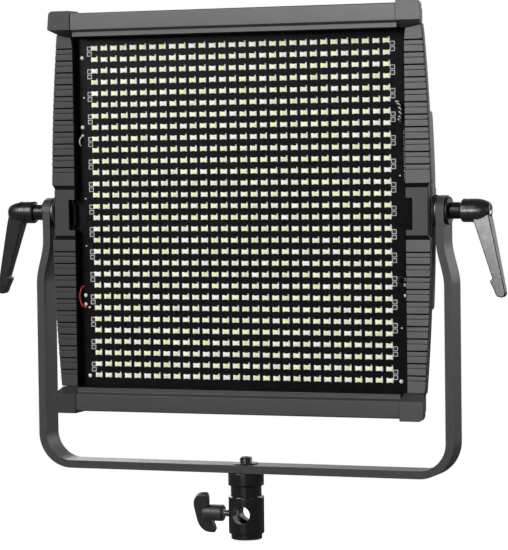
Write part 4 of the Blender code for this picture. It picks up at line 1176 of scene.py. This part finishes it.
# =============================== tilt clamps ======================================
for side, sx in SIDES:
    ax = "X" if sx > 0 else "-X"

    def ring(name, mat, body, r_out, r_in, x0, x1, c=0.35):
        prof = [(r_in, x1 - c), (r_in + c, x1), (r_out - c, x1), (r_out, x1 - c), (r_out, x0 + c), (r_out - c, x0), (r_in + c, x0), (r_in, x0 + c)]
        piece(turned(name, ax, prof, segs=72, closed=True), name + "_" + side + "_ring", body, mat, [name + "_" + side], 40)

    ring("steel_washer", WSTEEL, "yoke", 12.4, 4.5, 177.7, 179.2)
    ring("clamp_washer", WASHER, "yoke", 12.0, 4.5, 186.7, 188.6, 0.5)
    ring("friction_disc", RUBBER, "panel", 13.5, 4.5, 175.6, 177.4)

    stud = turned(
        "stud",
        ax,
        [(0.0, 194.2), (2.5, 194.2), (2.5, 207.2), (6.0, 207.2), (6.0, 199.5), (6.9, 198.9), (7.15, 198.5), (7.15, 190.0), (6.7, 188.9), (4.0, 188.9)]
        + [(4.0 - 0.3 * (i % 2), 188.0 - 0.5 * i) for i in range(55)]
        + [(3.6, 160.2), (0.0, 160.2)],
        segs=48,
    )
    piece(stud, "lever_stud_%s_turned" % side, "stud_" + side, OXIDE, ["lever_stud_" + side], 30)
    hub = turned(
        "hub",
        ax,
        [(0, 224.2), (5.4, 224.2), (5.9, 224.0), (6.6, 223.3), (7.6, 221.8), (8.6, 219.4), (9.3, 217.0), (9.8, 214.4), (9.95, 212.9)]
        + [(9.45, 212.7), (9.45, 212.1), (10.0, 211.9), (10.0, 206.6), (9.6, 206.4), (9.6, 205.9), (10.0, 205.7)]
        + [(10.0, 200.6), (9.7, 199.9), (8.8, 199.2), (0, 199.2)],
        segs=72,
    )
    arm_pts = [
        (209.6, -7.0),
        (223.6, -3.0),
        (225.6, -12.0),
        (237.0, -68.8),
        (236.9, -70.8),
        (236.2, -72.2),
        (235.0, -73.2),
        (233.2, -73.6),
        (229.8, -72.8),
        (228.2, -70.8),
        (227.4, -68.2),
        (223.6, -60.0),
        (223.9, -58.6),
        (226.0, -58.2),
        (211.4, -12.0),
    ]
    arm_pts = list(reversed(arm_pts))
    if sx < 0:
        arm_pts = flip(arm_pts)
    arm = flat("arm", arm_pts, 5.4, "XZ", cutter=True)
    # the arm narrows towards its tip, seen from the side
    for v in arm.data.vertices:
        t = min(1.0, max(0.0, (-v.co.z / MM - 8.0) / 64.0))
        v.co.y *= (6.35 + (3.6 - 6.35) * t) / 5.4
    bevel(arm, 1.0, 3, 40)
    combine(hub, arm, "UNION")
    combine(
        hub,
        turned(
            "lb",
            ax,
            [(0, 230.2), (5.2, 230.2), (5.2, 224.2), (4.8, 223.8), (4.8, 212.2), (2.7, 212.2), (2.7, 210.2), (6.4, 210.2), (6.4, 194.2), (0, 194.2)],
            segs=56,
            cutter=True,
        ),
        "DIFFERENCE",
    )
    piece(hub, "lever_handle_%s_moulding" % side, "handle_" + side, LEVER, ["lever_handle_" + side], 32)
    scr = turned(
        "ls",
        ax,
        [(0, 222.0), (1.9, 222.0), (1.9, 223.6), (2.3, 223.8), (3.9, 223.8), (4.2, 223.4), (4.2, 219.4), (2.2, 219.4), (2.2, 195.2), (0, 195.2)],
        segs=48,
    )
    piece(scr, "lever_screw_%s_head" % side, "stud_" + side, CHROME, ["lever_screw_" + side], 40)
    # the spring is drawn at the short length it has with the lever lifted
    coil = []
    n = int(2.25 * 24)
    for i in range(n + 1):
        a = 2 * math.pi * i / 24
        coil.append(((216.75 + (218.85 - 216.75) * i / n) * sx, 2.75 * math.cos(a), 2.75 * math.sin(a)))
    piece(curve_mesh("sp", coil, 0.42, 3), "lever_spring_%s_coil" % side, "stud_" + side, STEEL, ["lever_spring_" + side], 60)

# =============================== yoke ==============================================
YOKE_T, HALF_W = 6.9, 13.0
UP_O, LO_O = 186.4, 193.2
J_TOP, J_BOT, UNDER, R_OUT = -27.0, -61.0, -228.4, 31.0


def yoke_outline():
    up_i, lo_i, r_i = UP_O - YOKE_T, LO_O - YOKE_T, R_OUT - YOKE_T

    def jog(x_up, x_lo, z_up, z_lo):
        out = []
        for i in range(0, 17):
            t = i / 16.0
            s = t * t * (3 - 2 * t)
            out.append((x_up + (x_lo - x_up) * s, z_up + (z_lo - z_up) * t))
        return out

    outer = [(UP_O, HALF_W)] + jog(UP_O, LO_O, J_TOP + 2, J_BOT - 2) + arc(LO_O - R_OUT, UNDER + R_OUT, R_OUT, 0, -90, 28)
    inner = [(up_i, HALF_W)] + jog(up_i, lo_i, J_TOP + 1.3, J_BOT - 2.7) + arc(LO_O - R_OUT, UNDER + R_OUT, r_i, 0, -90, 28)
    left_outer = [(-x, z) for x, z in reversed(outer)]
    left_inner = [(-x, z) for x, z in inner]
    return outer + left_outer + left_inner + list(reversed(inner))


yoke = flat("yoke", list(reversed(yoke_outline())), HALF_W, "XZ")
for s in (1, -1):
    pts = [(0.0, 16.0), (16.0, 16.0), (16.0, 0.0)] + arc(0, 0, HALF_W, 0, 90, 24)
    pts = [(y * s, z) for y, z in pts]
    if s > 0:
        pts.reverse()
    combine(yoke, flat("ye", pts, 200.0, "YZ", cutter=True), "DIFFERENCE")
combine(yoke, rods("yp", "X", [(4.6, 4.6, -200, 200, 0, 0, 0)], segs=48, cutter=True), "DIFFERENCE")
combine(yoke, rods("yc", "Z", [(7.4, 7.4, UNDER - 5, UNDER + 12, 0, 0, 0)], segs=64, cutter=True), "DIFFERENCE")
bevel(yoke, 0.9, 3, 50)
piece(yoke, "yoke_bar", "yoke", YOKE, ["yoke_bracket"], 30)
BAR_TOP = UNDER + YOKE_T
bush = turned(
    "bush",
    "Z",
    [(6.1, BAR_TOP + 0.8), (6.4, BAR_TOP + 1.0), (10.6, BAR_TOP + 1.0), (11.0, BAR_TOP + 0.7), (11.0, BAR_TOP + 0.3), (7.0, BAR_TOP + 0.3), (7.0, UNDER + 0.3), (6.1, UNDER + 0.3)],
    segs=72,
    closed=True,
)
piece(bush, "thread_bush_flange", "yoke", WASHER, ["thread_bush"], 40)

# =============================== receiver ==========================================
ring_top, ring_bottom = UNDER - 0.3, -240.0
lr = turned(
    "lr",
    "Z",
    [(6.1, ring_top)]
    + round_profile([(6.1, ring_top), (15.7, ring_top), (15.7, ring_bottom), (6.1, ring_bottom)], 0.9, 4)[1:-1]
    + [(6.1, ring_bottom)],
    segs=96,
    closed=True,
)
# a shallow relief line round the ring
combine(
    lr,
    turned("lrg", "Z", [(15.35, -237.0), (17, -237.0), (17, -237.6), (15.35, -237.6)], segs=96, closed=True, cutter=True),
    "DIFFERENCE",
)
piece(lr, "lock_ring_body", "lock_ring", ANODISED, ["lock_ring"], 35)
prof = [(0, -215.2), (4.6, -215.2), (5.3, -215.6)]
z = -216.1
while z > -243.6:
    prof += [(5.8, z), (5.2, z - 0.6)]
    z -= 1.2
prof += [(5.2, -244.4), (0, -244.4)]
st = turned("st", "Z", prof, segs=64)
combine(st, rods("sth", "Z", [(2.9, 2.9, -219.2, -211.2, 0, 0, 0)], segs=6, cutter=True), "DIFFERENCE")
piece(st, "centre_stud_thread", "receiver", STUDM, ["centre_stud"], 25)

CROSS, CLAMP = -264.8, -265.5
rec = turned(
    "rec",
    "Z",
    [(0.0, -245.0), (6.1, -245.0), (6.1, -240.5), (6.3, -240.3), (13.2, -240.3), (13.5, -240.6), (13.5, -249.3)]
    + [(13.7, -249.6), (14.9, -249.6), (15.35, -249.8), (15.6, -250.2), (15.65, -250.8)]
    + [(15.65, -281.1), (15.5, -281.8), (15.1, -282.2), (14.6, -282.3)]
    + [(13.9, -282.3), (13.65, -282.5), (13.65, -286.6), (13.2, -287.1), (8.5, -287.1), (8.1, -286.7), (8.1, -247.6), (0.0, -247.6)],
    segs=96,
)
combine(rec, rods("rcb", "Y", [(8.1, 8.1, -20, 20, 0, 0, CROSS)], segs=64, cutter=True), "DIFFERENCE")
combine(rec, rods("rch", "X", [(3.3, 3.3, -20, -4, 0, 0, CLAMP)], segs=32, cutter=True), "DIFFERENCE")
piece(rec, "receiver_barrel", "receiver", ANODISED, ["receiver_body"], 32)
pad = turned("cp", "-X", round_profile([(0, 10.8), (2.8, 10.8), (2.8, 8.3), (0, 8.3)], 0.3, 2), (0, 0, CLAMP), 32)
piece(pad, "clamp_pad_face", "clamp_pad", STEEL, ["clamp_pad"], 40)
prof = [(0, 33.0), (2.8, 33.0)]
h = 32.6
while h > 12.0:
    prof += [(3.0, h), (2.62, h - 0.4)]
    h -= 0.8
prof += [(2.4, 11.1), (0, 11.1)]
piece(turned("cs", "-X", prof, (0, 0, CLAMP), 48), "clamp_screw_thread", "clamp_knob", CHROME, ["clamp_screw"], 25)

hub = turned(
    "th",
    "-X",
    [(0, 40.0)]
    + round_profile([(0, 40.0), (6.6, 40.0), (7.35, 34.0), (7.35, 22.4), (6.6, 21.6), (3.3, 21.6)], 0.9, 4)[1:-1]
    + [(3.3, 21.6), (3.3, 33.4), (0, 33.4)],
    (0, 0, CLAMP),
    56,
)
half_wing = [
    (-47.6, 0.0),
    (-47.6, 4.0),
    (-47.55, 8.0),
    (-47.2, 10.6),
    (-46.6, 13.0),
    (-45.7, 15.2),
    (-44.5, 17.0),
    (-43.2, 18.4),
    (-42.0, 19.4),
    (-39.5, 20.3),
    (-36.8, 20.6),
    (-34.0, 20.6),
    (-32.9, 20.2),
    (-32.5, 19.4),
    (-32.5, 17.2),
    (-32.6, 15.0),
    (-33.2, 11.2),
    (-34.0, 7.2),
    (-34.4, 0.0),
]
wing_pts = half_wing + [(x, -q) for x, q in reversed(half_wing[1:-1])]
wing = flat("wing", wing_pts, 2.9, "XZ", (0, 0, CLAMP), cutter=True)
wing.rotation_euler = (math.radians(29.6), 0, 0)
bevel(wing, 1.5, 4, 40)
combine(hub, wing, "UNION")
piece(hub, "t_handle_moulding", "clamp_knob", WING, ["t_handle"], 32)

for c in CUTTERS:
    bpy.data.objects.remove(c, do_unlink=True)

# CAD nodes that stay as they are: inner pieces with their own finishes
KEPT = {
    "heat_spreader": (ALLOY, "aluminium"),
    "driver_board": (PCB, "green_board"),
    "pivot_bush_left": (BRASS, "brass"),
    "pivot_bush_right": (BRASS, "brass"),
}
for n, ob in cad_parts.items():
    if ob.hide_render:
        continue
    mat, slot = KEPT.get(n, (BLACK, "black_plastic"))
    ob.data.materials.clear()
    ob.data.materials.append(mat)

# =============================== stage, light, camera ===============================
bm = bmesh.new()
bmesh.ops.create_grid(bm, x_segments=1, y_segments=1, size=14.0)
me = bpy.data.meshes.new("floor")
bm.to_mesh(me)
bm.free()
floor = bpy.data.objects.new("floor", me)
floor.location = (0, 0, -0.0012)
scene.collection.objects.link(floor)
fm = bpy.data.materials.new("pale_floor")
fm.use_nodes = True
nt = fm.node_tree
b = nt.nodes["Principled BSDF"]
b.inputs["Roughness"].default_value = 0.8
tc = nt.nodes.new("ShaderNodeTexCoord").outputs["Object"]
nz = noise(nt, tc, 3.0, 2.0)
col = mix_colour(nt, nz, (0.80, 0.80, 0.80), (0.84, 0.84, 0.84))
nt.links.new(col, b.inputs["Base Color"])
b.inputs["Emission Color"].default_value = (1, 1, 1, 1)
b.inputs["Emission Strength"].default_value = 0.78
dim = nt.nodes.new("ShaderNodeBsdfDiffuse")
dim.inputs["Color"].default_value = (0.20, 0.20, 0.20, 1)
lp = nt.nodes.new("ShaderNodeLightPath")
far = nt.nodes.new("ShaderNodeVectorMath")
far.operation = "LENGTH"
nt.links.new(tc, far.inputs[0])
white = nt.nodes.new("ShaderNodeEmission")
fade = nt.nodes.new("ShaderNodeMixShader")
nt.links.new(remap(nt, far.outputs["Value"], 0.05, 0.30, 0.0, 1.0), fade.inputs[0])
nt.links.new(b.outputs[0], fade.inputs[1])
nt.links.new(white.outputs[0], fade.inputs[2])
mx = nt.nodes.new("ShaderNodeMixShader")
nt.links.new(lp.outputs["Is Camera Ray"], mx.inputs[0])
nt.links.new(dim.outputs[0], mx.inputs[1])
nt.links.new(fade.outputs[0], mx.inputs[2])
nt.links.new(mx.outputs[0], nt.nodes["Material Output"].inputs["Surface"])
me.materials.append(fm)
floor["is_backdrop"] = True

world = bpy.data.worlds.new("studio")
scene.world = world
world.use_nodes = True
nt = world.node_tree
nt.nodes.clear()
out = nt.nodes.new("ShaderNodeOutputWorld")
bg = nt.nodes.new("ShaderNodeBackground")
nt.links.new(bg.outputs[0], out.inputs[0])
geo = nt.nodes.new("ShaderNodeTexCoord")
sep = nt.nodes.new("ShaderNodeSeparateXYZ")
nt.links.new(geo.outputs["Generated"], sep.inputs[0])
behind = remap(nt, sep.outputs["Y"], 0.0, 0.7, 0.0, 1.0)
upward = remap(nt, sep.outputs["Z"], 0.45, 0.8, 1.0, 0.5)
level = maths(nt, "ADD", maths(nt, "MULTIPLY", behind, 0.50), 0.13)
level = maths(nt, "MULTIPLY", level, upward)
lp = nt.nodes.new("ShaderNodeLightPath")
level = maths(nt, "ADD", maths(nt, "MULTIPLY", level, maths(nt, "SUBTRACT", 1.0, lp.outputs["Is Camera Ray"])), lp.outputs["Is Camera Ray"])
bg.inputs["Color"].default_value = (1, 1, 1, 1)
nt.links.new(level, bg.inputs["Strength"])


def softbox(name, at, target, w, h, power, tone=(1, 1, 1)):
    li = bpy.data.lights.new(name, "AREA")
    li.shape = "RECTANGLE"
    li.size, li.size_y = w, h
    li.energy = power
    li.color = tone
    ob = bpy.data.objects.new(name, li)
    scene.collection.objects.link(ob)
    ob.location = at
    d = Vector(target) - Vector(at)
    ob.rotation_euler = d.to_track_quat("-Z", "Y").to_euler()
    return ob


MID = (0.0, 0.0, 0.27)
softbox("key_left", (-1.3, -1.9, 1.3), MID, 1.3, 1.3, 43)
softbox("fill_right", (2.1, -1.3, 0.75), MID, 1.2, 1.4, 4)
softbox("back_left", (-1.4, 1.9, 1.1), MID, 1.2, 1.2, 22)
softbox("back_right", (1.6, 1.8, 0.9), MID, 1.2, 1.2, 18)


def only(light, name, obs):
    """Limit a softbox to some pieces."""
    c = bpy.data.collections.new(name)
    for o in obs:
        c.objects.link(o)
    light.light_linking.receiver_collection = c


DARK_SIDE = ("corner_cap_top_left", "corner_cap_bottom_left", "side_cover_left", "slot_latch")
DULL = DARK_SIDE + ("led_board", "led_tracks", "top_recess", "bottom_recess", "recess_liner", "slot_latch")
sheen = softbox("sheen_right", (0.05, -2.25, 0.2), (0.15, 0.0, 0.25), 0.9, 1.1, 18)
only(sheen, "sheen_pieces", [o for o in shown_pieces() if not o.name.startswith(DULL) and "groove_floor" not in o.name] + [floor])
glow = softbox("upper_right_glow", (-0.2, -2.14, 0.85), (0.17, 0.0, 0.42), 0.5, 0.5, 19)
RIGHT = ("top_rail_face", "corner_cap_top_right", "side_cover_right_ribs")
only(glow, "glow_pieces", [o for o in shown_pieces() if o.name.startswith(RIGHT)])
glint = softbox("lever_glint", (-0.35, -2.14, 0.16), (0.23, 0.0, 0.25), 0.8, 0.8, 32)
only(glint, "glint_pieces", [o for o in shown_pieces() if o.name == "lever_handle_right_moulding"])

cam = bpy.data.cameras.new("camera")
cam.lens = 172.2
cam.sensor_width = 36.0
cam.clip_start = 0.05
cam.clip_end = 60.0
ob = bpy.data.objects.new("camera", cam)
scene.collection.objects.link(ob)
f = Vector((-0.35410, 0.93401, -0.04732)).normalized()
u = Vector((-0.00463, 0.04885, 0.99880))
r = f.cross(u).normalized()
u = r.cross(f).normalized()
ob.matrix_world = Matrix(
    (
        (r.x, u.x, -f.x, 0.82283),
        (r.y, u.y, -f.y, -2.14419),
        (r.z, u.z, -f.z, 0.3401),
        (0, 0, 0, 1),
    )
)
scene.camera = ob
scene.view_settings.view_transform = "Standard"

EMPTY = [o.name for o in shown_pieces() if o.type == "MESH" and not len(o.data.vertices)]
if EMPTY:
    raise RuntimeError("pieces without any shape: " + ", ".join(EMPTY))
